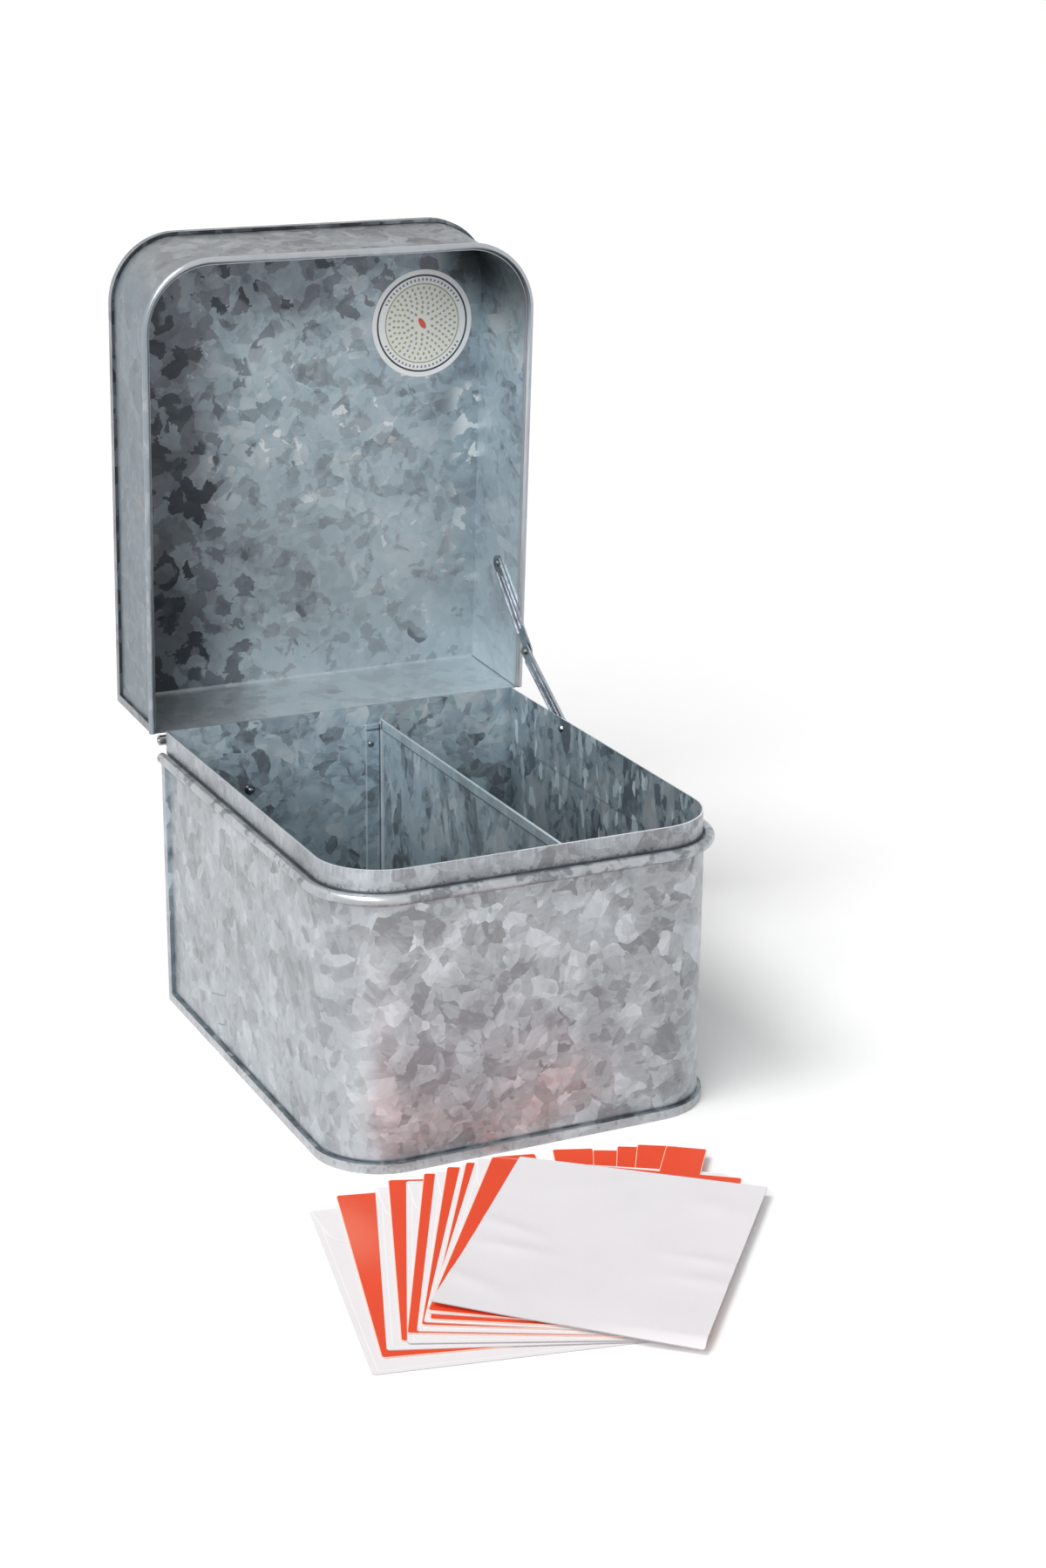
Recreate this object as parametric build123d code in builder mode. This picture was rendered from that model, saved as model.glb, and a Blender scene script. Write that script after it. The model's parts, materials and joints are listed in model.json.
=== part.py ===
from build123d import *
import os

# Garden seed organizer box: a galvanized sheet-steel box with a hinged lid, a divider, a folding
# lid stay, and the fan of seed envelopes and tabbed index cards that it stores.
# Millimetres, +Z up, front toward -Y. The origin is the middle of the footprint, on the resting face.
# The lid is drawn where it lies when shut, and its planes are swung open by lid_open.

os.makedirs("parts", exist_ok=True)

# ---- Box body
box_width = 180.0  # outside of the neck collar
box_depth = 217.0  # neck front to the back panel's outer face
corner_radius = 29.0  # outside of the neck's two front corners
sheet = 0.6
cut_past = 50.0  # how far the cuts that leave the back open run past it
neck_top = 136.0
collar_height = 28.0
bead_height = 123.8  # centre of the rolled bead
bead_radius = 2.5
bead_wall = 0.6
bead_sink = 0.3  # how far the roll bites into its own sheet
bead_end_gap = 0.9  # from the roll's cut end to the back panel
floor_lift = 1.4  # underside of the floor above the seam's foot
seam_height = 4.4
seam_proud = 2.1

# ---- Divider
divider_x = 19.6
divider_drop = 7.5  # top edge below the neck's top
hem_height = 4.3
hem_gap = 0.1
hem_end_gap = 2.0
flange_width = 8.3
flange_drop = 2.3  # flange top below the divider's top
front_flange_gap = 1.0  # below the collar
divider_rivet_drop = 12.1  # upper rivet below the divider's top
divider_rivet_low = 20.0
divider_rivet_x = 5.4  # from the divider's sheet
divider_rivet_radius = 1.0
divider_head_radius = 1.6
divider_head_height = 0.8

# ---- Lid
lid_open = 87.2  # degrees from shut, where the stay holds it
lid_side_gap = 3.7  # neck to the inside of the lid, where the stay folds away
lid_front_gap = 1.2
lid_back_gap = 0.8
lid_rim_rise = 4.4  # centre of the rim's roll above the box's bead, lid shut
lid_height = 52.0  # from the rim's centre to the outside of the top
lid_flare = 4.5  # the front wall leans out by this much at the top
lid_bead_radius = 1.6
lid_bead_wall = 0.5
lid_seam_height = 4.0
lid_seam_proud = 1.5
lid_back_reach = 0.5  # the lid's back wall ends this far above the rim's centre

# ---- Hinge
barrel_out = 5.5  # hinge line behind the back panel's outer face
barrel_drop = 5.8  # hinge line below the neck's top
barrel_radius = 2.4
barrel_end_out = 1.8  # the barrel's ends stand past the neck's sides
knuckle_count = 5
knuckle_gap = 0.3
hinge_pin_radius = 1.2
hinge_pin_clearance = 0.05
pin_head_height = 0.6
leaf_thickness = 0.8
leaf_inset = 3.2  # leaves narrower than the barrel, each end
base_leaf_reach = 36.0  # leaf bottom below the hinge line
base_leaf_bend = 5.6  # the base leaf turns out this far below the hinge line
lid_leaf_reach = 30.0
leaf_relief_gap = 0.6  # base leaf to the head of the divider's upper rivet
pop_rivet_in = 42.7  # from the barrel's ends
pop_rivet_drop = 28.6  # below the hinge line
pop_shank_radius = 1.6
pop_dome_radius = 2.6
pop_dome_height = 1.1
pop_ball_radius = 1.7
pop_head_radius = 3.2
pop_head_height = 1.0

# ---- Lid stay, on the right side
stay_setback = 62.5  # neck pivot ahead of the hinge line
knee_set = 5.6  # the knee stands this far off the line between the other two pivots
link_half_width = 3.9
link_sheet = 0.7
link_depth = 1.3  # over the folded edges, which face the box
link_edge = 0.6
link_edge_inset = 3.4  # the folded edges stop this far short of the pivots
link_rib_width = 1.4
link_rib_height = 0.4
link_rib_inset = 7.5
knee_inset = 12.2  # the upper link is plain this far from the knee, for the lower one to pass
neck_pivot_drop = 5.4  # below the neck's top
lid_pivot_rise = 20.6  # above the neck pivot, lid shut
lower_link_gap = 0.4  # neck to the lower link
link_gap = 0.3  # lower link to the upper link
stay_rivet_radius = 1.2
stay_rivet_clearance = 0.05
stay_head_radius = 2.1
stay_head_height = 0.7
stay_dome_radius = 2.0
stay_dome_height = 1.0
knee_shank_gap = 0.15  # the knee rivet's tail stays clear of the upper link

# ---- Label inside the lid
label_radius = 26.3
label_thickness = 0.2
label_in = 31.3  # label's middle from the lid's side wall
label_back = 44.6  # and from the lid's front wall

# ---- Fan of envelopes and index cards, lying in front
paper_width = 106.5  # envelopes and cards alike
paper_height = 134.0
envelope_thickness = 0.45
card_thickness = 0.35
card_rise = 4.0  # a card's middle beyond an envelope's, away from the fan's pivot
tab_width = 17.5
tab_height = 24.5
tab_left = 18.2  # tab's left side from the card's middle
tab_corner = 1.2
paper_corner = 1.5
fan_pivot_x = -52.8
fan_front_gap = 35.3  # a sheet's far edge, unturned, to the neck's front
fan_shift_x = -50.9  # a sheet's middle from the pivot before it slips, in its own directions
fan_reach = 214.0  # from the pivot to that far edge
# each sheet from the lowest up: its turn about the pivot, in degrees, and its slip along and across itself
fan_sheets = [
    (-11.6, -1.5, -0.8),
    (-14.8, -0.8, 0.0),
    (-21.0, -7.3, -2.9),
    (-21.0, -1.7, -1.3),
    (-23.3, -2.7, -3.9),
    (-26.5, -7.2, -7.3),
    (-27.0, -4.2, -3.2),
    (-28.4, -4.7, -6.0),
    (-30.5, -6.8, -4.2),
    (-30.5, -4.7, -6.6),
    (-32.7, -8.8, -3.1),
    (-35.6, -12.9, -11.5),
    (-40.4, -18.2, -15.4),
]

# ---- Places that several pieces share
half_width = box_width / 2
neck_front = -box_depth / 2
back_outer = box_depth / 2
back_inner = back_outer - sheet
far_behind = back_outer + cut_past
floor_top = floor_lift + sheet
bead_offset = sheet + bead_radius - bead_sink
divider_top = neck_top - divider_drop
divider_left = divider_x - sheet / 2
divider_right = divider_x + sheet / 2
hinge_y = back_outer + barrel_out
hinge_z = neck_top - barrel_drop
barrel_length = box_width + 2 * barrel_end_out
lid_rim_height = bead_height + lid_rim_rise
lid_half_inner = half_width + lid_side_gap
lid_front_inner = neck_front - lid_front_gap
lid_back_inner = back_outer + lid_back_gap
lid_back_outer = lid_back_inner + sheet
lid_radius = corner_radius + lid_front_gap
lid_top = lid_rim_height + lid_height
lid_ceiling = lid_top - sheet
lid_bead_offset = sheet + lid_bead_radius - bead_sink
lid_back_foot = lid_rim_height + lid_back_reach
stay_y = hinge_y - stay_setback
neck_pivot_z = neck_top - neck_pivot_drop
lid_pivot_z = neck_pivot_z + lid_pivot_rise
label_x = lid_half_inner - label_in
label_y = lid_front_inner + label_back
fan_pivot_y = neck_front - fan_front_gap - fan_reach
fan_shift_y = fan_reach - paper_height / 2
lower_link_x = half_width + lower_link_gap
upper_link_x = lower_link_x + link_depth + link_gap

lid_swing = Pos(0, hinge_y, hinge_z) * Rot(-lid_open, 0, 0) * Pos(0, -hinge_y, -hinge_z)


def on_lid(plane):
    """A plane given on the shut lid, carried round to where the open lid has it."""
    return Plane(lid_swing * plane.location)


def rounded_front(half, front, back, radius, mode=Mode.ADD):
    """Rectangle with rounded front corners and square back ones, in the open sketch."""
    with BuildLine() as outline:
        FilletPolyline((-half, back), (-half, front), (half, front), (half, back), radius=radius)
        Line((half, back), (-half, back))
    make_face(outline.edges(), mode=mode)


def u_strip(half, front, back, radius, thickness):
    """The section of a sheet bent round the two front corners: half and front are its inside."""
    rounded_front(half + thickness, front - thickness, back, radius + thickness)
    rounded_front(half, front, far_behind, radius, mode=Mode.SUBTRACT)


def rolled_bead(plane, half, front, back, radius, offset, bead, wall):
    """Hollow roll that follows the sheet round the front, offset outward from its inside."""
    with BuildLine(plane) as path:
        FilletPolyline(
            (-half - offset, back),
            (-half - offset, front - offset),
            (half + offset, front - offset),
            (half + offset, back),
            radius=radius + offset,
        )
    start = Plane(origin=path.line @ 0, z_dir=path.line % 0)
    with BuildSketch(start) as roll:
        Circle(bead)
        Circle(bead - wall, mode=Mode.SUBTRACT)
    sweep(roll.sketch, path=path.line)


def save(piece, name):
    """Label a finished piece and write it as its own file."""
    piece.part.label = name
    export_step(piece.part, f"parts/{name}.step")


# ---- Base: bent wall with its rolled bead
with BuildPart() as base_wall:
    with BuildSketch(Plane.XY.offset(floor_top)):
        u_strip(half_width, neck_front, back_inner, corner_radius, sheet)
    extrude(amount=bead_height - floor_top)
    rolled_bead(
        Plane.XY.offset(bead_height), half_width, neck_front, back_inner - bead_end_gap,
        corner_radius, bead_offset, bead_radius, bead_wall,
    )
save(base_wall, "base_wall")

# ---- Base: collar that stands up inside the wall as the neck
with BuildPart() as neck_collar:
    with BuildSketch(Plane.XY.offset(neck_top - collar_height)):
        u_strip(half_width - sheet, neck_front + sheet, back_inner, corner_radius - sheet, sheet)
    extrude(amount=collar_height)
    with BuildSketch(Plane.YZ.offset(half_width)):
        with Locations((stay_y, neck_pivot_z)):
            Circle(stay_rivet_radius)
    extrude(amount=-2 * sheet, mode=Mode.SUBTRACT)
save(neck_collar, "neck_collar")


def pop_rivet_spots():
    """Where the hinge's pop rivets pass the back panel, as x and z."""
    return [(side * (barrel_length / 2 - pop_rivet_in), hinge_z - pop_rivet_drop) for side in (-1, 1)]


def divider_rivet_spots():
    """Where the divider's rivets pass the back panel, as x and z."""
    heights = (divider_top - divider_rivet_drop, divider_rivet_low)
    return [(divider_left - divider_rivet_x, height) for height in heights]


def back_plane(y):
    """Upright plane facing the back, whose own x runs along +X and own y up."""
    return Plane(origin=(0, y, 0), x_dir=(1, 0, 0), z_dir=(0, -1, 0))


# ---- Base: floor and back panel in one sheet, with the double seam round the wall
seam_half = half_width + sheet + seam_proud
seam_front = neck_front - sheet - seam_proud
seam_top_back = bead_height - bead_radius - knuckle_gap
with BuildPart() as base_tray:
    with BuildSketch(Plane.XY):
        rounded_front(seam_half, seam_front, back_outer, corner_radius + sheet + seam_proud)
        rounded_front(
            half_width + sheet, neck_front - sheet, back_inner, corner_radius + sheet, mode=Mode.SUBTRACT
        )
    extrude(amount=seam_height)
    with BuildSketch(Plane.XY.offset(floor_lift)):
        rounded_front(half_width + sheet, neck_front - sheet, back_inner, corner_radius + sheet)
    extrude(amount=sheet)
    with BuildSketch(back_plane(back_outer)):
        with Locations((0, seam_top_back / 2)):
            Rectangle(2 * seam_half, seam_top_back)
        with Locations((0, neck_top / 2)):
            Rectangle(box_width, neck_top)
    extrude(amount=sheet)
    with BuildSketch(Plane.XY):
        for side in (-1, 1):
            with Locations((side * (half_width + sheet + seam_proud / 2), back_outer - seam_height / 2)):
                Rectangle(seam_proud, seam_height)
    extrude(amount=seam_top_back)
    with BuildSketch(back_plane(back_outer)):
        with Locations(*pop_rivet_spots()):
            Circle(pop_shank_radius)
        with Locations(*divider_rivet_spots()):
            Circle(divider_rivet_radius)
    extrude(amount=sheet, mode=Mode.SUBTRACT)
save(base_tray, "base_tray")

# ---- Divider: sheet with a folded hem, a back flange and a short front flange
hem_left = divider_left - hem_gap - sheet
front_flange_top = neck_top - collar_height - front_flange_gap
with BuildPart() as divider:
    with BuildSketch(Plane.YZ.offset(divider_left)):
        with Locations((0, floor_top)):
            Rectangle(2 * back_inner, divider_top - floor_top, align=(Align.CENTER, Align.MIN))
    extrude(amount=sheet)
    with BuildSketch(Plane.YZ.offset(hem_left)):
        with Locations((0, divider_top)):
            Rectangle(2 * (back_inner - hem_end_gap), hem_height, align=(Align.CENTER, Align.MAX))
    extrude(amount=sheet)
    with BuildSketch(Plane.YZ.offset(hem_left)):
        with Locations((0, divider_top)):
            Rectangle(2 * (back_inner - hem_end_gap), sheet, align=(Align.CENTER, Align.MAX))
    extrude(amount=divider_right - hem_left)
    with BuildSketch(back_plane(back_inner)):
        with Locations((divider_right, floor_top)):
            Rectangle(
                flange_width + sheet, divider_top - flange_drop - floor_top, align=(Align.MAX, Align.MIN)
            )
        with Locations(*divider_rivet_spots()):
            Circle(divider_rivet_radius, mode=Mode.SUBTRACT)
    extrude(amount=sheet)
    with BuildSketch(back_plane(-back_inner)):
        with Locations((divider_right, floor_top)):
            Rectangle(flange_width + sheet, front_flange_top - floor_top, align=(Align.MAX, Align.MIN))
    extrude(amount=sheet)
save(divider, "divider")

with BuildPart() as divider_rivets:
    with BuildSketch(back_plane(back_outer)):
        with Locations(*divider_rivet_spots()):
            Circle(divider_rivet_radius)
    extrude(amount=2 * sheet)
    for face_y, outward in ((back_inner - sheet, 1), (back_outer, -1)):
        with BuildSketch(back_plane(face_y)):
            with Locations(*divider_rivet_spots()):
                Circle(divider_head_radius)
        extrude(amount=outward * divider_head_height, taper=30)
save(divider_rivets, "divider_rivets")

# ---- Lid: bent wall with its rolled rim, front wall leaning out toward the top
with BuildPart() as lid_wall:
    with BuildSketch(on_lid(Plane.XY.offset(lid_rim_height))):
        u_strip(lid_half_inner, lid_front_inner, lid_back_inner, lid_radius, sheet)
    with BuildSketch(on_lid(Plane.XY.offset(lid_ceiling))):
        u_strip(lid_half_inner, lid_front_inner - lid_flare, lid_back_inner, lid_radius, sheet)
    loft(ruled=True)
    rolled_bead(
        on_lid(Plane.XY.offset(lid_rim_height)), lid_half_inner, lid_front_inner,
        lid_back_inner, lid_radius, lid_bead_offset, lid_bead_radius, lid_bead_wall,
    )
    with BuildSketch(on_lid(Plane.YZ.offset(lid_half_inner))):
        with Locations((stay_y, lid_pivot_z)):
            Circle(stay_rivet_radius)
    extrude(amount=sheet, mode=Mode.SUBTRACT)
save(lid_wall, "lid_wall")

# ---- Lid: top and back wall in one sheet, with the double seam round the wall
lid_seam_half = lid_half_inner + sheet + lid_seam_proud
lid_wall_front_top = lid_front_inner - lid_flare - sheet
lid_seam_foot = lid_rim_height + lid_bead_radius + knuckle_gap
with BuildPart() as lid_tray:
    with BuildSketch(on_lid(Plane.XY.offset(lid_top))):
        rounded_front(
            lid_seam_half, lid_wall_front_top - lid_seam_proud, lid_back_outer,
            lid_radius + sheet + lid_seam_proud,
        )
    extrude(amount=-sheet)
    with BuildSketch(on_lid(Plane.XY.offset(lid_ceiling))):
        rounded_front(
            lid_seam_half, lid_wall_front_top - lid_seam_proud, lid_back_outer,
            lid_radius + sheet + lid_seam_proud,
        )
        rounded_front(
            lid_half_inner + sheet, lid_wall_front_top, far_behind, lid_radius + sheet, mode=Mode.SUBTRACT
        )
    extrude(amount=sheet - lid_seam_height)
    with BuildSketch(on_lid(Plane.XY.offset(lid_top))):
        with Locations((0, lid_back_outer)):
            Rectangle(2 * lid_half_inner + 2 * sheet, sheet, align=(Align.CENTER, Align.MAX))
    extrude(amount=lid_back_foot - lid_top)
    with BuildSketch(on_lid(Plane.XY.offset(lid_top))):
        for side in (-1, 1):
            with Locations((side * (lid_half_inner + sheet), lid_back_outer)):
                Rectangle(
                    lid_seam_proud, lid_seam_height,
                    align=(Align.MAX if side < 0 else Align.MIN, Align.MAX),
                )
    extrude(amount=lid_seam_foot - lid_top)
save(lid_tray, "lid_tray")

# ---- Label inside the lid's top
with BuildPart() as lid_label:
    with BuildSketch(on_lid(Plane.XY.offset(lid_ceiling))):
        with Locations((label_x, label_y)):
            Circle(label_radius)
    extrude(amount=-label_thickness)
save(lid_label, "lid_label")


# ---- Hinge: one long barrel across the back, its base leaf, lid leaf and pin
knuckle_length = (barrel_length - (knuckle_count - 1) * knuckle_gap) / knuckle_count
bore_radius = hinge_pin_radius + hinge_pin_clearance
barrel_near = hinge_y - barrel_radius + leaf_thickness / 2
barrel_start = -barrel_length / 2
knuckle_starts = [barrel_start + step * (knuckle_length + knuckle_gap) for step in range(knuckle_count)]
leaf_start = barrel_start + leaf_inset
leaf_width = barrel_length - 2 * leaf_inset
bend_z = hinge_z - base_leaf_bend


def knuckle(plane_at, start):
    """One rolled knuckle along the hinge line."""
    with BuildSketch(plane_at(start)) as ring:
        with Locations((hinge_y, hinge_z)):
            Circle(barrel_radius)
    extrude(ring.sketch, amount=knuckle_length)


def bore_barrel(plane_at):
    """Clear the pin's hole through the knuckles and their webs."""
    with BuildSketch(plane_at(barrel_start)) as bore:
        with Locations((hinge_y, hinge_z)):
            Circle(bore_radius)
    extrude(bore.sketch, amount=barrel_length, mode=Mode.SUBTRACT)


def base_side(x):
    """Upright plane facing right at x, for the pieces on the box."""
    return Plane.YZ.offset(x)


def lid_side(x):
    """The same plane for the pieces on the lid."""
    return on_lid(Plane.YZ.offset(x))


with BuildPart() as hinge_base_leaf:
    with BuildSketch(back_plane(back_outer)):
        with Locations((0, bend_z)):
            Rectangle(leaf_width, base_leaf_reach - base_leaf_bend, align=(Align.CENTER, Align.MAX))
        with Locations(*pop_rivet_spots()):
            Circle(pop_shank_radius, mode=Mode.SUBTRACT)
        with Locations(divider_rivet_spots()[0]):
            Circle(divider_head_radius + leaf_relief_gap, mode=Mode.SUBTRACT)
    extrude(amount=-leaf_thickness)
    for start in knuckle_starts[::2]:
        web_start = max(start, leaf_start)
        web_end = min(start + knuckle_length, leaf_start + leaf_width)
        with BuildSketch(base_side(web_start)):
            with BuildLine():
                Polyline(
                    (back_outer, bend_z),
                    (back_outer + leaf_thickness, bend_z),
                    (hinge_y, hinge_z - barrel_radius + leaf_thickness / 2),
                    (barrel_near, hinge_z),
                    close=True,
                )
            make_face()
        extrude(amount=web_end - web_start)
        knuckle(base_side, start)
    bore_barrel(base_side)
save(hinge_base_leaf, "hinge_base_leaf")

with BuildPart() as hinge_lid_leaf:
    with BuildSketch(lid_side(leaf_start)):
        with Locations((lid_back_outer, hinge_z)):
            Rectangle(leaf_thickness, lid_leaf_reach, align=(Align.MIN, Align.MIN))
    extrude(amount=leaf_width)
    for start in knuckle_starts[::2]:
        with BuildSketch(lid_side(start - knuckle_gap)):
            with Locations((lid_back_outer, hinge_z)):
                Rectangle(3 * leaf_thickness, 2 * barrel_radius, align=(Align.MIN, Align.CENTER))
        extrude(amount=knuckle_length + 2 * knuckle_gap, mode=Mode.SUBTRACT)
    for start in knuckle_starts[1::2]:
        with BuildSketch(lid_side(start)):
            with Locations((lid_back_outer, hinge_z)):
                Rectangle(
                    barrel_near - lid_back_outer + leaf_thickness, 2 * leaf_thickness,
                    align=(Align.MIN, Align.CENTER),
                )
        extrude(amount=knuckle_length)
        knuckle(lid_side, start)
    bore_barrel(lid_side)
save(hinge_lid_leaf, "hinge_lid_leaf")

with BuildPart() as hinge_pin:
    with BuildSketch(base_side(barrel_start)):
        with Locations((hinge_y, hinge_z)):
            Circle(hinge_pin_radius)
    extrude(amount=barrel_length)
    for head_plane, outward in ((base_side(barrel_start), -1), (base_side(-barrel_start), 1)):
        with BuildSketch(head_plane):
            with Locations((hinge_y, hinge_z)):
                Circle(hinge_pin_radius + bead_sink)
        extrude(amount=outward * pin_head_height, taper=25)
save(hinge_pin, "hinge_pin")

# ---- Pop rivets that hold the base leaf: flat head outside, dome and mandrel ball inside
with BuildPart() as hinge_pop_rivets:
    with BuildSketch(back_plane(back_outer + leaf_thickness)):
        with Locations(*pop_rivet_spots()):
            Circle(pop_shank_radius)
    extrude(amount=leaf_thickness + sheet)
    with BuildSketch(back_plane(back_outer + leaf_thickness)):
        with Locations(*pop_rivet_spots()):
            Circle(pop_head_radius)
    extrude(amount=-pop_head_height, taper=30)
    with BuildSketch(back_plane(back_inner)):
        with Locations(*pop_rivet_spots()):
            Circle(pop_dome_radius)
    extrude(amount=pop_dome_height, taper=25)
    with Locations(*[(x, back_inner - pop_dome_height, z) for x, z in pop_rivet_spots()]):
        Sphere(pop_ball_radius)
save(hinge_pop_rivets, "hinge_pop_rivets")


# ---- Lid stay: two channel links, open toward the box, held by three rivets
neck_pivot = Vector(0, stay_y, neck_pivot_z)
lid_pivot = (lid_swing * Pos(0, stay_y, lid_pivot_z)).position
span = lid_pivot - neck_pivot
knee = neck_pivot + span * 0.5 + Vector(0, span.Z, -span.Y).normalized() * knee_set
stay_length = (knee - neck_pivot).length
running_radius = stay_rivet_radius + stay_rivet_clearance
channel_depth = link_depth - link_sheet
lower_web_x = lower_link_x + channel_depth
upper_web_x = upper_link_x + channel_depth


def along_link(x, start, end):
    """Plane at x that faces right, with its own x running from one pivot to the next."""
    return Plane(origin=(x, start.Y, start.Z), x_dir=end - start, z_dir=(1, 0, 0))


def link_web(plane, rib_start):
    """The link's flat web with its pressed rib."""
    with BuildSketch(plane) as web:
        with Locations((stay_length / 2, 0)):
            SlotCenterToCenter(stay_length, 2 * link_half_width)
    extrude(web.sketch, amount=link_sheet)
    rib_end = stay_length - link_rib_inset
    with BuildSketch(plane) as rib:
        with Locations(((rib_start + rib_end) / 2, 0)):
            SlotOverall(rib_end - rib_start, link_rib_width)
    extrude(rib.sketch, amount=-link_rib_height)


def link_edges(plane, edge_start):
    """The link's two folded edges."""
    edge_end = stay_length - link_edge_inset
    with BuildSketch(plane) as edges:
        for side in (-1, 1):
            with Locations(((edge_start + edge_end) / 2, side * (link_half_width - link_edge / 2))):
                Rectangle(edge_end - edge_start, link_edge)
    extrude(edges.sketch, amount=link_depth)


with BuildPart() as stay_lower_link:
    link_web(along_link(lower_web_x, neck_pivot, knee), link_rib_inset)
    with BuildSketch(along_link(lower_web_x, neck_pivot, knee)):
        with Locations((stay_length, 0)):
            Rectangle(link_half_width, link_half_width, align=(Align.MIN, Align.MAX))
    extrude(amount=link_sheet)
    link_edges(along_link(lower_link_x, neck_pivot, knee), link_edge_inset)
    with BuildSketch(along_link(lower_web_x, neck_pivot, knee)):
        Circle(running_radius)
        with Locations((stay_length, 0)):
            Circle(stay_rivet_radius)
    extrude(amount=link_sheet, mode=Mode.SUBTRACT)
save(stay_lower_link, "stay_lower_link")

with BuildPart() as stay_upper_link:
    link_web(along_link(upper_web_x, knee, lid_pivot), knee_inset)
    link_edges(along_link(upper_link_x, knee, lid_pivot), knee_inset)
    with BuildSketch(along_link(upper_web_x, knee, lid_pivot)):
        with Locations((stay_length, 0)):
            Circle(running_radius)
    extrude(amount=link_sheet, mode=Mode.SUBTRACT)
save(stay_upper_link, "stay_upper_link")

with BuildPart() as stay_neck_rivet:
    neck_inside = half_width - sheet
    neck_head_x = lower_link_x + link_depth + stay_rivet_clearance
    with BuildSketch(Plane.YZ.offset(neck_inside)):
        with Locations((stay_y, neck_pivot_z)):
            Circle(stay_rivet_radius)
    extrude(amount=neck_head_x - neck_inside)
    with BuildSketch(Plane.YZ.offset(neck_inside)):
        with Locations((stay_y, neck_pivot_z)):
            Circle(stay_dome_radius)
    extrude(amount=-stay_dome_height, taper=35)
    with BuildSketch(Plane.YZ.offset(neck_head_x)):
        with Locations((stay_y, neck_pivot_z)):
            Circle(stay_head_radius)
    extrude(amount=stay_head_height, taper=25)
save(stay_neck_rivet, "stay_neck_rivet")

with BuildPart() as stay_knee_rivet:
    with BuildSketch(along_link(lower_web_x, knee, lid_pivot)):
        Circle(stay_rivet_radius)
    extrude(amount=upper_web_x - knee_shank_gap - lower_web_x)
    with BuildSketch(along_link(lower_web_x, knee, lid_pivot)):
        Circle(stay_head_radius)
    extrude(amount=-channel_depth - stay_head_height, taper=20)
save(stay_knee_rivet, "stay_knee_rivet")

with BuildPart() as stay_lid_rivet:
    lid_outside = lid_half_inner + sheet
    lid_head_x = upper_web_x - stay_rivet_clearance
    with BuildSketch(along_link(lid_outside, lid_pivot, knee)):
        Circle(stay_rivet_radius)
    extrude(amount=lid_head_x - lid_outside)
    with BuildSketch(along_link(lid_head_x, lid_pivot, knee)):
        Circle(stay_head_radius)
    extrude(amount=-stay_head_height, taper=20)
    with BuildSketch(along_link(lid_outside, lid_pivot, knee)):
        Circle(stay_head_radius)
    extrude(amount=stay_head_height, taper=25)
save(stay_lid_rivet, "stay_lid_rivet")

# ---- Fan of seed envelopes with a tabbed index card between each two, lying flat in front
stack_top = 0.0
for step, (turn, slip_x, slip_y) in enumerate(fan_sheets):
    turned = Pos(fan_pivot_x, fan_pivot_y, stack_top) * Rot(0, 0, turn)
    middle = turned * Pos(fan_shift_x + slip_x, fan_shift_y + slip_y, 0)
    if step % 2 == 0:
        with BuildPart() as envelope:
            with BuildSketch(Plane(middle)):
                RectangleRounded(paper_width, paper_height, paper_corner)
            extrude(amount=envelope_thickness)
        save(envelope, f"seed_envelope_{step // 2 + 1}")
        stack_top += envelope_thickness
    else:
        with BuildPart() as card:
            with BuildSketch(Plane(middle)):
                with Locations((0, card_rise)):
                    RectangleRounded(paper_width, paper_height, paper_corner)
                with Locations((tab_left, card_rise + paper_height / 2)):
                    RectangleRounded(
                        tab_width, 2 * tab_height, tab_corner, align=(Align.MIN, Align.CENTER)
                    )
            extrude(amount=card_thickness)
        save(card, f"index_card_{step // 2 + 1}")
        stack_top += card_thickness
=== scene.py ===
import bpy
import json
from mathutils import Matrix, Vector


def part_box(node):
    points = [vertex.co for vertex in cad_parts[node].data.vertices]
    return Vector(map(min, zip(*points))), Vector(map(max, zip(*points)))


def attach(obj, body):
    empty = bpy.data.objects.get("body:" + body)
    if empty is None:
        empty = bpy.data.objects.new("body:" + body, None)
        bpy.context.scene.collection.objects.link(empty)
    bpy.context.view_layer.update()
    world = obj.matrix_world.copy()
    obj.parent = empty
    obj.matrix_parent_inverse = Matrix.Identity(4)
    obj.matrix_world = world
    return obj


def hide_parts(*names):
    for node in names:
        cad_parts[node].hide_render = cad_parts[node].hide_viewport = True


bl_info = {
    "name": "Garden seed organizer box",
    "version": (1, 0, 0),
    "blender": (4, 5, 0),
    "location": "3D View > Sidebar > Seed Box",
    "description": "Finishes a galvanized seed box, and makes its envelopes, cards and label print",
    "category": "Object",
}

import json
from math import cos, exp, pi, radians, sin

import bmesh
import bpy
from bpy.props import FloatProperty, FloatVectorProperty, PointerProperty
from mathutils import Matrix, Vector

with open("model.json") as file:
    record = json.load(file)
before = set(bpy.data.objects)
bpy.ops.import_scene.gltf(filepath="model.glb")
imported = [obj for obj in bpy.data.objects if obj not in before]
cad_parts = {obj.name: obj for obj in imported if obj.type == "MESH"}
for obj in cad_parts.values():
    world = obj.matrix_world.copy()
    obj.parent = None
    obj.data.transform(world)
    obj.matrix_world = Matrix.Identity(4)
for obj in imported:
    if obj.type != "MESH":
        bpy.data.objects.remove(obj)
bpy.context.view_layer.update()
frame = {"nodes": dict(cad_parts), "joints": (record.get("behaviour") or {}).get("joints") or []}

LID_HINGE = next(joint for joint in frame["joints"] if joint["name"] == "lid_hinge")
HINGE_POINT = Vector(LID_HINGE["pos_m"])
LID_SWING = radians(LID_HINGE["range_deg"][1])

# The inside of a sheet faces one of these points; the divider's left side and hem face the last
BOX_MIDDLE = (0.0, 0.0, 0.07)
LID_MIDDLE = (0.0, 0.0, 0.15)
FAR_UP = (0.0, 0.0, 10.0)

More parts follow.
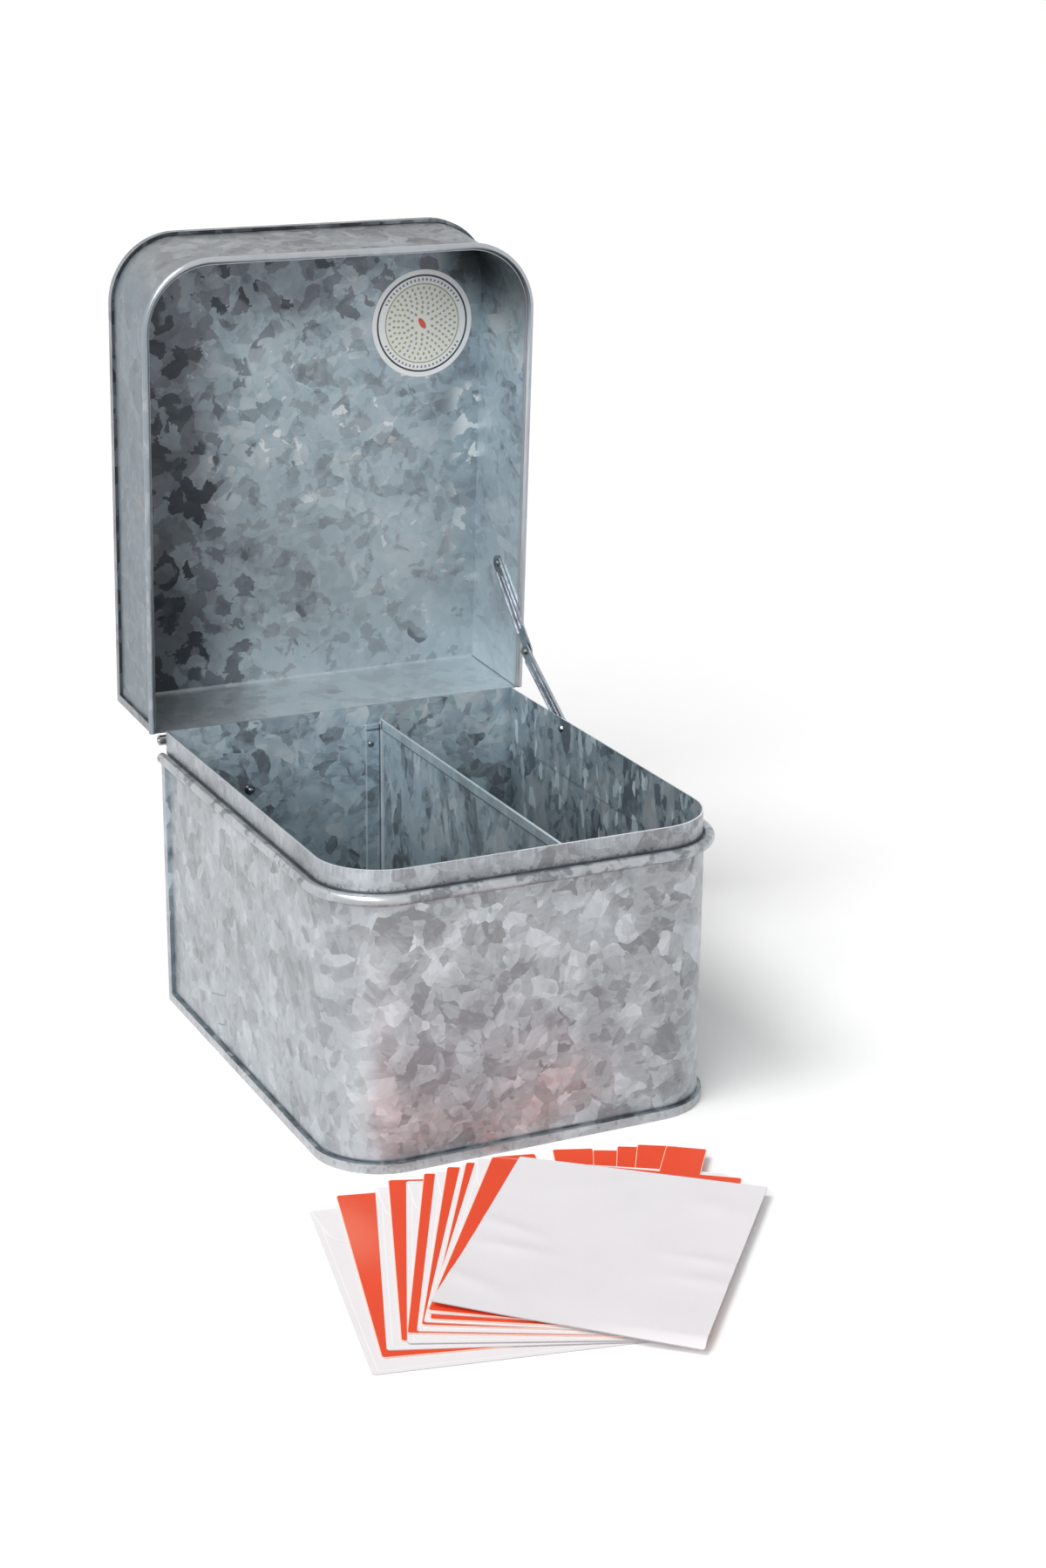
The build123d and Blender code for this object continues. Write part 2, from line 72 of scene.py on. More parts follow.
# The zinc's pattern: sizes in metres
BEND_SIZE = 0.028
RAGGED_SIZE = 0.005
SMALL_RAGGED_SIZE = 0.004
STROKE_SIZE = 0.0016
ZONE_SIZE = 0.030
GRAIN_SIZE = 0.0009

# How far zones gather the flakes, and the marks below and above which a flake stands out
LARGE_FLAKES = (1.5, 0.26, 0.80)
SMALL_FLAKES = (1.0, 0.24, 0.82)
# The parts of large flakes, small flakes, strokes and zones in the tone
LARGE_PART, SMALL_PART, STROKE_PART, ZONE_PART = 0.6, 0.4, 0.24, 0.15
# How much more contrast the side walls have than the front, outside and inside
SIDE_CONTRAST = (-0.4, 0.3)
# Outside, the front's level, and the painted light that lifts the side walls over it and the round
# corners over both, for how light falls on each
FRONT_LEVEL, SIDE_PAINTED_LIGHT, CORNER_PAINTED_LIGHT = 0.425, 0.05, 0.05
ROUND_CORNER = (0.70, 0.08, 0.20)
# How metallic the sheet is, outside and inside
METALLIC = (0.72, 0.65)

# Ranges over which marks come and go, in metres: X to the right, Y to the back, Z up
LONG_WALL_X = (0.084, 0.089)
ROOM_Z = (0.015, 0.125)
FRONT_WALL_Y = (-0.108, -0.100)
FRONT_WALL_X = (-0.075, 0.085)
LEFT_WALL_X = -0.0895
BEAD_Z = (0.1208, 0.1214)
BEAD_DIRT_TOP_Z = (0.1215, 0.1232)
BEAD_DIRT_FOOT_Z = (0.1196, 0.1208)
BRUSHED_Z = (0.130, 0.1335)
COLLAR_RIGHT_X = (0.0, 0.09)
COLLAR_DIRT_Z = (0.1262, 0.1300)
NECK_EDGE_Z = (0.13575, 0.1359)
SEAM_Z = (0.0046, 0.0056)
DIVIDER_Y = (-0.110, 0.060)
HEM_Z = (0.1238, 0.1242)
HEM_EDGE_Z = (0.1280, 0.1283)
FLANGE_Y = (0.1040, 0.1045)
RIM_Z = (0.1296, 0.1303)
LID_OUTSIDE_X = (-0.0935, -0.080)
LID_SIDE_X = (0.085, 0.092)
LID_SIDE_Y = (-0.06, 0.10)
LID_BEND_X = (0.0922, 0.0930)
LID_BEND_Y = (0.1084, 0.1090)
LID_CORNER_X = (0.035, 0.080)
LID_CORNER_Y = (-0.098, -0.050)
LID_FOLD_Y = (-0.095, -0.060)
LID_FOLD_Z = (0.140, 0.172)
LID_LEFT_X = (-0.075, -0.030)
PANEL_LEFT_X = (-0.078, -0.012)
PANEL_TOP_X = (-0.01, 0.06)
PANEL_TOP_Y = (-0.112, -0.035)
PANEL_PALE_Y = (-0.02, 0.09)
WEDGE_X = (0.066, 0.086)
WEDGE_Y = (-0.098, -0.070)
GLINTS_X = (0.074, 0.088)
PANEL_FOLD_Y = (0.1078, 0.1084)

# Lines and rings: middle, half width and soft edge, in metres or in shares of the label's radius
# The lines under the bead, over the seam and at the collar's foot are dark lines of dirt and
# painted crevice shade
BEAD_LINE_Z = (0.1209, 0.0002, 0.0009)
SEAM_LINE_Z = (0.0046, 0.0003, 0.0014)
COLLAR_LINE_Z = (0.1258, 0.0003, 0.001)
# Painted shadow under the hem, a painted shade line on the back flange, and painted highlights on
# the flange's bend and edge
HEM_LINE_Z = (0.1237, 0.0002, 0.0005)
FLANGE_LINE_X = (0.0184, 0.0002, 0.0004)
FLANGE_BEND_X = (0.0113, 0.0002, 0.0004)
FLANGE_EDGE_X = (0.0193, 0.0003, 0.0003)
# The band of painted highlights in glints on the lid's panel
GLINTS_Y = (0.012, 0.040, 0.012)
INNER_RING = (0.735, 0.008, 0.008)
TICK_RING = (0.815, 0.018, 0.01)
DARK_RING = (0.893, 0.014, 0.006)

# Speckled patches: size, detail, roughness, and where the noise starts and ends to show
BEAD_DIRT = (0.0025, 3.0, 0.7, 0.50, 0.60)
BEAD_PATCHES = (0.009, 3.0, 0.6, 0.52, 0.62)
COLLAR_PATCHES = (0.010, 4.0, 0.6, 0.50, 0.64)
COLLAR_DIRT = (0.0020, 3.0, 0.7, 0.54, 0.62)
SEAM_DIRT = (0.003, 3.0, 0.7, 0.52, 0.68)
LID_FLECKS = (0.0050, 3.0, 0.6, 0.50, 0.62)

# Tones that marks take the metal to, and how far
WHITE = (1.0, 1.0, 1.0)
SMOOTH_BEAD = ((0.47, 0.49, 0.51), 0.6)
SMOOTH_SEAM = ((0.52, 0.51, 0.52), 0.5)
SMOOTH_RIM = ((0.48, 0.50, 0.53), 0.75)
SCRATCHED = ((0.14, 0.15, 0.17), 0.6)
COLLAR_PATCH = ((0.20, 0.195, 0.215), 1.0)
# Painted highlight along the neck's top edge
NECK_EDGE_HIGHLIGHT = ((0.72, 0.76, 0.78), 1.0)
# Painted shade on the long walls inside, and painted highlights in upright slivers on them
WALL_SHADE = ((0.09, 0.14, 0.17), 0.45)
WALL_SLIVER_HIGHLIGHT = ((0.80, 0.93, 0.98), 1.0)
# Painted shade on the divider towards the front, painted light on its hem, and painted highlights
# on the hem's top edge and the flange
DIVIDER_SHADE = ((0.10, 0.125, 0.145), 1.0)
HEM_PAINTED_LIGHT = ((0.62, 0.72, 0.77), 0.55)
HEM_EDGE_HIGHLIGHT = ((0.60, 0.68, 0.72), 0.5)
FLANGE_EDGE_HIGHLIGHT = ((0.80, 0.86, 0.88), 0.6)
# Painted shade on the lid, outside its left wall and inside at the bend, the front right corner,
# the fold and the left; painted light on its right wall inside
LID_OUTSIDE_SHADE = ((0.20, 0.26, 0.30), 1.0)
LID_SIDE_PAINTED_LIGHT = ((0.60, 0.645, 0.665), 1.0)
LID_BEND_SHADE = ((0.08, 0.10, 0.12), 0.8)
LID_CORNER_SHADE = ((0.05, 0.065, 0.08), 1.0)
LID_FOLD_SHADE = ((0.012, 0.017, 0.022), 0.9)
LID_LEFT_SHADOW = ((0.08, 0.09, 0.10), 0.8)
# On the lid's panel: painted light, faint flakes, painted shade, dark and near-black flakes, a
# painted shade wedge, and painted highlights in glints and along the back fold
PANEL_PAINTED_LIGHT = ((0.62, 0.70, 0.74), 1.0)
PANEL_FAINT = ((0.17, 0.17, 0.19), 0.36)
PANEL_SHADE = ((0.10, 0.112, 0.13), 1.0)
PANEL_DARK = ((0.085, 0.09, 0.105), 0.6)
PANEL_BLACK = ((0.02, 0.026, 0.034), 0.75)
WEDGE_SHADE = ((0.03, 0.04, 0.05), 0.85)
GLINTS = ((0.93, 0.96, 0.96), 0.8)
PANEL_FOLD_HIGHLIGHT = ((0.72, 0.78, 0.80), 0.5)
LABEL_STAIN = ((0.70, 0.68, 0.62), 1.0)
LABEL_FIELD = ((0.80, 0.80, 0.70), 0.35)
# Painted sheen on the lowest card
SHEEN_ORANGE = ((0.87, 0.24, 0.15), 1.0)

# Roughness of the parts that are worn or pressed smooth
BEAD_ROUGHNESS, RIM_ROUGHNESS, NECK_ROUGHNESS = 0.33, 0.30, 0.3

# Tones of the plated steel
PLATE = (0.35, 0.37, 0.39)
LINK = (0.39, 0.41, 0.44)
RIVET = (0.27, 0.285, 0.30)
POP_RIVET = (0.15, 0.155, 0.165)

# The painted sheen on the lowest card, a painted highlight: from the card's middle, squeezed
# lengthwise
SHEEN_OFF = (-0.046, 0.028)
SHEEN_SQUEEZE = 0.62
SHEEN_REACH = 0.030
SHEEN_MOST = 0.55

# Two bent scratches on the left wall, each through three points (y, z)
SCRATCHED_WALL = -0.0906
SCRATCH_WIDTH = 0.0004
SCRATCHES = (
    ((0.0519, 0.0248), (0.0338, 0.0300), (0.0324, 0.0335)),
    ((0.0445, 0.0122), (0.0349, 0.0150), (0.0323, 0.0188)),
)

# Rings of printed seeds: radius and half length as shares of the label's, and their number
SEED_RINGS = (
    (0.66, 0.030, 36),
    (0.57, 0.030, 32),
    (0.48, 0.030, 27),
    (0.39, 0.030, 22),
    (0.30, 0.032, 16),
    (0.21, 0.032, 10),
)
SEED_WIDTH = 0.20
TICKS = 64
BUD_SIZE = (0.055, 0.12, 1.0)
BUD_TURN = 0.6

# Soft wrinkles in the top envelope: x, y, turn, half length, half width, height
WRINKLES = (
    (-0.040, 0.004, -0.35, 0.014, 0.0042, 0.00048),
    (-0.036, -0.013, -0.10, 0.015, 0.0048, 0.00062),
    (-0.045, -0.044, -0.40, 0.014, 0.0056, 0.00058),
    (0.041, -0.003, -0.08, 0.016, 0.0042, 0.00053),
    (0.045, -0.020, -0.04, 0.015, 0.0050, 0.00058),
    (0.034, 0.044, -0.15, 0.016, 0.0070, 0.00040),
    (-0.024, 0.046, 0.60, 0.014, 0.0070, 0.00036),
    (0.002, -0.050, 0.05, 0.030, 0.0112, 0.00044),
)
DROOP_START = -0.061
DROOP_REACH = 0.006

# Material slots of the paper pieces
FACE, CREASE_HIGHLIGHT, RIM = 0, 1, 2
CUT_EDGE = 1
ENVELOPES = 7
CARDS = 6

# The lamps' ways and the camera, whose focal length and frame height are in pixels
KEY_WAY = (1.0, 0.2, -1.6)
KEY_SPREAD = 0.72
FILL_WAY = (1.0, 1.0, -0.90)
CAMERA_TURN = radians(-25.866)
CAMERA_RISE = radians(18.523)
CAMERA_ROLL = radians(0.5126)
CAMERA_PLACE = (-0.49048, -1.10306, 0.53531)
FOCAL_LENGTH = 3234.49
FRAME_HEIGHT = 1799.0
SENSOR = 36.0


def colour(name, text, default):
    return FloatVectorProperty(
        name=name, description=text, default=default, size=3, subtype="COLOR", min=0.0, max=1.0
    )


def quantity(name, text, default, **limits):
    return FloatProperty(name=name, description=text, default=default, **limits)


def length(name, text, default):
    return quantity(name, text, default, unit="LENGTH", min=0.0, precision=5)


def share(name, text, default, top=1.0):
    return quantity(name, text, default, subtype="FACTOR", min=0.0, max=top)


class SheetMetal(bpy.types.PropertyGroup):
    flake: length("Flake", "Size of the larger zinc flakes", 0.0090)
    small_flake: length("Small flake", "Size of the flakes that lie among them", 0.0040)
    bend: length("Bend", "How far the flakes' outlines bend", 0.022)
    ragged: length("Ragged", "How ragged the flakes' outlines are", 0.0035)
    roughness: share("Roughness", "Dullness of the zinc", 0.42)
    tilt: share("Tilt", "How much each flake leans its own way", 0.08)
    out_dark: colour("Outside, dark flakes", "Darkest zinc flakes outside", (0.250, 0.256, 0.270))
    out_mid: colour("Outside", "Most of the zinc outside", (0.440, 0.466, 0.490))
    out_light: colour("Outside, light flakes", "Brightest flakes outside", (0.620, 0.645, 0.680))
    # Inside tones: the same zinc painted teal and lighter, painted light standing in for light
    # bouncing about inside the box and lid
    in_painted_dark: colour("Inside, dark flakes", "Darkest zinc flakes inside", (0.195, 0.220, 0.250))
    in_painted_mid: colour("Inside", "Most of the zinc inside", (0.495, 0.605, 0.670))
    in_painted_light: colour("Inside, light flakes", "Brightest flakes inside", (0.710, 0.775, 0.800))
    glint: colour("Glints", "Few flakes that catch the light inside", (0.86, 0.87, 0.86))
    # This colour serves for dirt specks, and also for dark lines of painted crevice shade and
    # painted shadow
    dirt_and_shade: colour("Seam dirt", "What gathers in the seams", (0.060, 0.075, 0.095))


class Paper(bpy.types.PropertyGroup):
    width: length("Width", "Width of an envelope", 0.1065)
    height: length("Height", "Height of an envelope", 0.134)
    corner: length("Corner", "Radius of an envelope's corners", 0.0015)
    flap_depth: length("Flap", "How far the flap comes down the face", 0.0312)
    flap_taper: length("Flap taper", "How much the flap narrows on each side", 0.0045)
    flap_corner: length("Flap corner", "Radius of the flap's corners", 0.0095)
    flap_edge: length("Flap edge", "Width of the pressed line along the flap", 0.0006)
    flap_sheet: length("Flap sheet", "Thickness of the flap", 0.00012)
    side_seam: length("Side seam", "From an envelope's edge to its pressed line", 0.0022)
    corner_lift: length("Lifted corner", "Lift of the top envelope's near left corner", 0.0026)
    corner_droop: length("Drooping corner", "How far its near right corner droops", 0.0023)
    white: colour("Envelope", "Paper of the top envelope", (0.800, 0.772, 0.792))
    pale: colour("Pale envelope", "Paper of the other envelopes", (0.855, 0.825, 0.838))
    # The rims' dark tone is painted shade on the upright edges of the paper
    rim: colour("Rim", "Cut and folded rims of the envelopes", (0.46, 0.44, 0.45))
    # The pressed lines are real; their pale tone is a painted highlight
    crease_highlight: colour("Pressed line", "Pressed line along flap and sides", (0.95, 0.94, 0.94))
    orange: colour("Index card", "Index card stock", (0.800, 0.074, 0.024))
    orange_cut: colour("Cut edge", "Cut edge of the index card stock", (0.93, 0.62, 0.50))
    cut_width: length("Cut edge width", "How far the cut edge shows round a card's face", 0.0003)


class Label(bpy.types.PropertyGroup):
    radius: length("Radius", "Radius of the label", 0.0263)
    middle_x: length("Across", "Label's middle to the right of the lid's middle", 0.0624)
    middle_y: quantity("Along", "Label's middle along the shut lid", -0.0651, unit="LENGTH")
    white: colour("Paper", "Label paper", (0.97, 0.97, 0.98))
    ink: colour("Ring", "Dark printed ring", (0.025, 0.035, 0.045))
    olive: colour("Seeds", "Printed seeds and the inner ring", (0.42, 0.44, 0.22))
    bud: colour("Bud", "Printed bud in the middle", (0.80, 0.13, 0.07))


class Stage(bpy.types.PropertyGroup):
    floor_size: length("Floor", "Side of the floor", 6.0)
    floor: colour("Floor colour", "Pale floor", (0.96, 0.96, 0.96))
    world: share("Sky", "Even light from all round", 0.4, 2.0)
    key: quantity("Key light", "Strength of the soft light from the left", 1.5)
    fill: quantity("Fill light", "Strength of the soft light from the front", 1.32)
    spread: quantity("Spread", "Width of the soft lights", radians(32.0), subtype="ANGLE")


class SeedBoxSettings(bpy.types.PropertyGroup):
    metal: PointerProperty(type=SheetMetal)
    paper: PointerProperty(type=Paper)
    label: PointerProperty(type=Label)
    stage: PointerProperty(type=Stage)


class Finish:
    """One node material, built up a node at a time."""

    def __init__(self, name):
        self.material = bpy.data.materials.new(name)
        self.material.use_nodes = True
        self.tree = self.material.node_tree
        self.tree.nodes.clear()
        self.shader = self.add("BsdfPrincipled")
        output = self.add("OutputMaterial")
        self.tree.links.new(self.shader.outputs[0], output.inputs[0])

    def add(self, kind, sockets=None, **settings):
        node = self.tree.nodes.new("ShaderNode" + kind)
        for key, value in settings.items():
            setattr(node, key, value)
        for key, value in (sockets or {}).items():
            self.put(node.inputs[key], value)
        return node

    def put(self, socket, value):
        if isinstance(value, bpy.types.NodeSocket):
            self.tree.links.new(value, socket)
        elif socket.type == "RGBA" and len(value) == 3:
            socket.default_value = (*value, 1.0)
        else:
            socket.default_value = value

    def math(self, operation, *values, **settings):
        return self.add("Math", dict(enumerate(values)), operation=operation, **settings).outputs[0]

    def times(self, first, *others):
        for other in others:
            first = self.math("MULTIPLY", first, other)
        return first

    def line(self, value, slope, start):
        return self.math("MULTIPLY_ADD", value, slope, start)

    def most(self, a, b):
        return self.math("MAXIMUM", a, b)

    def opposite(self, value):
        return self.math("SUBTRACT", 1.0, value)

    def vector(self, operation, *values):
        node = self.add("VectorMath", dict(enumerate(values)), operation=operation)
        return node.outputs[1 if operation in ("DOT_PRODUCT", "LENGTH") else 0]

    def scaled(self, a, factor):
        return self.add("VectorMath", {0: a, "Scale": factor}, operation="SCALE").outputs[0]

    def stretched(self, where, across, along, up):
        return self.vector("MULTIPLY", where, (across, along, up))

    def split(self, a):
        return self.add("SeparateXYZ", {0: a}).outputs

    def step(self, value, low, high, bottom=0.0, top=1.0):
        """Eases from bottom to top as value goes from low to high."""
        ends = {"From Min": low, "From Max": high, "To Min": bottom, "To Max": top}
        node = self.add("MapRange", {"Value": value, **ends}, interpolation_type="SMOOTHSTEP")
        return node.outputs[0]

    def fade(self, value, low, high):
        """1 up to low, and 0 from high on."""
        return self.step(value, low, high, 1.0, 0.0)

    def band(self, value, middle, half, soft):
        """1 within half of middle, and 0 beyond that by soft."""
        off = self.math("ABSOLUTE", self.math("SUBTRACT", value, middle))
        return self.fade(off, half, half + soft)

    def mix(self, share_of_b, a, b, how="MIX"):
        sockets = {0: share_of_b, 6: a, 7: b}
        return self.add("Mix", sockets, data_type="RGBA", blend_type=how).outputs[2]

    def tint(self, shade, where, tone, amount=1.0):
        """Takes shade to tone there, by amount of the way."""
        return self.mix(where if amount == 1.0 else self.times(where, amount), shade, tone)

    def dim(self, shade, where, level):
        """Takes shade there to a share of itself."""
        grey = self.add("CombineColor", {0: level, 1: level, 2: level}).outputs[0]
        return self.mix(where, shade, self.mix(1.0, shade, grey, "MULTIPLY"))

    def blend(self, share_of_b, a, b):
        return self.add("Mix", {0: share_of_b, 2: a, 3: b}, data_type="FLOAT").outputs[0]

    def ramp(self, value, stops):
        node = self.add("ValToRGB", {0: value})
        marks = node.color_ramp.elements
        while len(marks) < len(stops):
            marks.new(0.5)
        for mark, (place, tone) in zip(marks, stops):
            mark.position = place
            mark.color = (*tone, 1.0) if hasattr(tone, "__len__") else (tone, tone, tone, 1.0)
        return node.outputs[0]

    def noise(self, where, size, detail=2.0, rough=0.5):
        """Outputs of a noise: its strength, and as a colour."""
        sockets = {"Vector": where, "Scale": 1.0 / size, "Detail": detail, "Roughness": rough}
        return self.add("TexNoise", sockets).outputs

    def specks(self, where, size, detail, rough, low, high):
        """Patches where a noise is over a mark between low and high."""
        return self.step(self.noise(where, size, detail, rough)[0], low, high)

    def wander(self, where, size, reach, detail, rough=0.55):
        """Sends each place astray by up to about half of reach."""
        away = self.vector("SUBTRACT", self.noise(where, size, detail, rough)[1], (0.5, 0.5, 0.5))
        return self.vector("ADD", where, self.scaled(away, reach))

    def cells(self, where, size):
        """One random colour for each cell."""
        return self.add("TexVoronoi", {"Vector": where, "Scale": 1.0 / size}).outputs["Color"]

    def scratch(self, where, start, end, width):
        """1 along a thin straight scratch from start to end."""
        along = Vector(end) - Vector(start)
        off = self.vector("SUBTRACT", where, start)
        done = self.vector("DOT_PRODUCT", off, along / along.length_squared)
        done = self.math("MULTIPLY", done, 1.0, use_clamp=True)
        aside = self.vector("LENGTH", self.vector("SUBTRACT", off, self.scaled(along, done)))
        return self.fade(aside, 0.5 * width, width)

    def bump(self, height, strength, distance):
        sockets = {"Height": height, "Strength": strength, "Distance": distance}
        return self.add("Bump", sockets).outputs[0]

    def finish(self, sockets):
        for key, value in sockets.items():
            self.put(self.shader.inputs[key], value)
        return self.material


def shut_lid_place(f, place):
    """Turns places on the open lid back to where they lie when it is shut."""
    turn = Matrix.Rotation(LID_SWING, 3, "X")
    move = HINGE_POINT - turn @ HINGE_POINT
    sockets = {0: place, "Location": move, "Rotation": (LID_SWING, 0.0, 0.0)}
    return f.add("Mapping", sockets).outputs[0]


def blended(a, b, share_of_b):
    return tuple(x + (y - x) * share_of_b for x, y in zip(a, b))


def scaled_tone(tone, level):
    return tuple(min(1.0, level * part) for part in tone)


def tones(dark, mid, light, level):
    """Stops of a ramp from the dark flakes to the light ones."""
    stops = [(0.20, dark), (0.40, blended(dark, mid, 0.65)), (0.50, mid), (0.80, light)]
    return [(place, scaled_tone(tone, level)) for place, tone in stops]


def flake_tone(f, cells, zone, reach, dark, light):
    """Most flakes are alike; those below dark and above light stand out, and zone gathers them."""
    near, far = 0.05, 0.16
    darker = [(dark - far, 0.14), (dark, 0.40), (dark + near, 0.49)]
    lighter = [(light - near, 0.52), (light, 0.62), (light + far, 0.88)]
    return f.ramp(f.line(zone, reach, cells), darker + lighter)


def galvanized(name, middle, marks, contrast, level, glints=0.5, on_lid=False):
    """Zinc-coated sheet with its flakes. Its inside faces middle; pairs are outside and inside."""
    metal = bpy.context.scene.seed_box.metal
    f = Finish(name)
    coordinates = f.add("TexCoord").outputs
    place = coordinates["Object"]
    facing = coordinates["Normal"]
    if on_lid:
        place = shut_lid_place(f, place)
        sockets = {0: facing, "Rotation": (LID_SWING, 0.0, 0.0)}
        facing = f.add("Mapping", sockets, vector_type="NORMAL").outputs[0]
    towards = f.vector("DOT_PRODUCT", facing, f.vector("SUBTRACT", place, middle))
    within = f.math("LESS_THAN", towards, 0.0)
    sideways = f.math("ABSOLUTE", f.split(facing)[0])

    # Large flakes, drawn out upright on the side walls inside
    upright = f.math("ADD", f.times(sideways, within, -0.55), 1.0)
    stretch = f.add("CombineXYZ", {0: 1.0, 1: 1.0, 2: upright}).outputs[0]
    strayed = f.wander(f.vector("MULTIPLY", place, stretch), BEND_SIZE, metal.bend, 2.0)
    large = f.cells(f.wander(strayed, RAGGED_SIZE, metal.ragged, 2.0), metal.flake)

    # Small flakes and brush strokes, turned another way within each large one
    turn = {0: place, "Rotation": f.scaled(large, 2.0 * pi)}
    turned = f.add("VectorRotate", turn, rotation_type="EULER_XYZ").outputs[0]
    drawn = f.stretched(turned, 1.0, 1.0, 0.5)
    strayed = f.wander(drawn, SMALL_RAGGED_SIZE, metal.ragged, 3.0, 0.65)
    small = f.split(f.cells(strayed, metal.small_flake))
    stroke = f.noise(f.stretched(turned, 1.0, 1.0, 0.15), STROKE_SIZE, 2.0, 0.6)[0]

    # One tone about zero from all of them
    zone = f.math("SUBTRACT", f.noise(place, ZONE_SIZE, 3.0, 0.6)[0], 0.5)
    big = flake_tone(f, f.split(large)[0], zone, *LARGE_FLAKES)
    little = flake_tone(f, small[0], zone, *SMALL_FLAKES)
    tone = f.line(big, LARGE_PART, f.times(little, SMALL_PART))
    tone = f.math("ADD", tone, f.line(stroke, STROKE_PART, -0.5 * STROKE_PART))
    tone = f.math("ADD", tone, f.line(zone, ZONE_PART, -0.5))

    # Outside it is calmer on the sides, and painted light makes the side walls and the round
    # corners lighter than the front; inside it is livelier
    calmed = f.times(tone, f.line(sideways, SIDE_CONTRAST[0] * contrast[0], contrast[0]))
    lift = f.line(sideways, SIDE_PAINTED_LIGHT, FRONT_LEVEL)
    lift = f.line(f.band(sideways, *ROUND_CORNER), CORNER_PAINTED_LIGHT, lift)
    outer = tones(metal.out_dark, metal.out_mid, metal.out_light, level[0])
    outer = f.ramp(f.math("ADD", calmed, lift), outer)
    livened = f.times(tone, f.line(sideways, SIDE_CONTRAST[1] * contrast[1], contrast[1]))
    # Painted light: inside, the zinc takes its own teal tones, standing in for light bouncing about
    # within
    inner = tones(metal.in_painted_dark, metal.in_painted_mid, metal.in_painted_light, level[1])
    inner = f.ramp(f.math("ADD", livened, 0.5), inner)
    # Painted highlights: a few small flakes inside take the glint tone
    glint = f.times(f.step(small[2], 0.945, 0.95), f.step(zone, -0.08, 0.1))
    inner = f.tint(inner, glint, metal.glint, glints)
    shade = f.mix(within, outer, inner)

    even = f.line(within, -0.06, metal.roughness - 0.02)
    roughness = f.line(small[1], 0.16, even)
    shade, roughness = marks(f, place, within, shade, roughness)
    bumped = f.bump(f.noise(place, GRAIN_SIZE, 2.0, 0.6)[0], 0.12, 0.0004)
    lean = f.scaled(f.vector("SUBTRACT", large, (0.5, 0.5, 0.5)), metal.tilt)
    normal = f.vector("NORMALIZE", f.vector("ADD", bumped, lean))
    metallic = f.line(within, METALLIC[1] - METALLIC[0], METALLIC[0])
    look = {"Base Color": shade, "Metallic": metallic, "Roughness": roughness, "Normal": normal}
    return f.finish(look)


def painted_room_shading(f, place, within, shade):
    """Painted shade: the inside of the box darkens downwards and along its long walls, and the long
    walls get upright slivers of painted highlight.
    """
    x, _, z = f.split(place)
    # Painted shade on the long walls inside
    beside = f.times(f.step(f.math("ABSOLUTE", x), *LONG_WALL_X), within)
    shade = f.tint(shade, beside, *WALL_SHADE)
    # Painted highlights: upright slivers on the long walls inside
    highlight_slivers = f.cells(f.wander(f.stretched(place, 1.0, 1.0, 0.40), 0.016, 0.008, 3.0), 0.0038)
    _, chosen, strength = f.split(highlight_slivers)
    shown = f.times(f.step(chosen, 0.74, 0.78), f.step(strength, 0.0, 1.0, 0.1, 0.95))
    shade = f.tint(shade, f.times(shown, beside), *WALL_SLIVER_HIGHLIGHT)
    # Painted shade, darker towards the bottom of the box
    return f.dim(shade, within, f.step(z, *ROOM_Z, 0.5, 1.0))


def base_wall_marks(f, place, within, shade, roughness):
    """The bead round the top with dirt specks on it and under it, dark lines of dirt and painted
    crevice shade under the bead and over the foot, painted light and shade across the front, and
    two scratches.
    """
    metal = bpy.context.scene.seed_box.metal
    x, y, z = f.split(place)
    outside = f.opposite(within)
    # Painted light and shade: the front face outside is lighter at its left and darker at its right
    front = f.times(f.fade(y, *FRONT_WALL_Y), outside)
    shade = f.dim(shade, front, f.step(x, *FRONT_WALL_X, 1.10, 0.90))

    bead = f.step(z, *BEAD_Z)
    shade = f.tint(shade, bead, *SMOOTH_BEAD)
    roughness = f.blend(bead, roughness, BEAD_ROUGHNESS)
    under = f.times(f.fade(z, *BEAD_DIRT_TOP_Z), f.step(z, *BEAD_DIRT_FOOT_Z))
    under = f.times(under, f.specks(place, *BEAD_DIRT), 0.6)
    patches = f.times(bead, f.specks(place, *BEAD_PATCHES), 0.55)
    # Dark lines under the bead and over the foot: partly dirt, partly painted crevice shade
    crevice_shade_lines = f.most(f.band(z, *BEAD_LINE_Z), f.band(z, *SEAM_LINE_Z))
    crevice_shade_lines = f.times(crevice_shade_lines, f.step(f.noise(place, 0.012)[0], 0.3, 0.6, 0.35, 0.9))
    dirt_and_crevice_shade = f.most(f.most(crevice_shade_lines, patches), under)
    shade = f.tint(shade, f.times(dirt_and_crevice_shade, outside), metal.dirt_and_shade)

    scratches = 0.0
    for points in SCRATCHES:
        ends = [(SCRATCHED_WALL, *point) for point in points]
        for start, end in zip(ends, ends[1:]):
            scratches = f.most(scratches, f.scratch(place, start, end, SCRATCH_WIDTH))
    left_wall = f.math("LESS_THAN", x, LEFT_WALL_X)
    shade = f.tint(shade, f.times(scratches, left_wall), *SCRATCHED)
    return painted_room_shading(f, place, within, shade), roughness


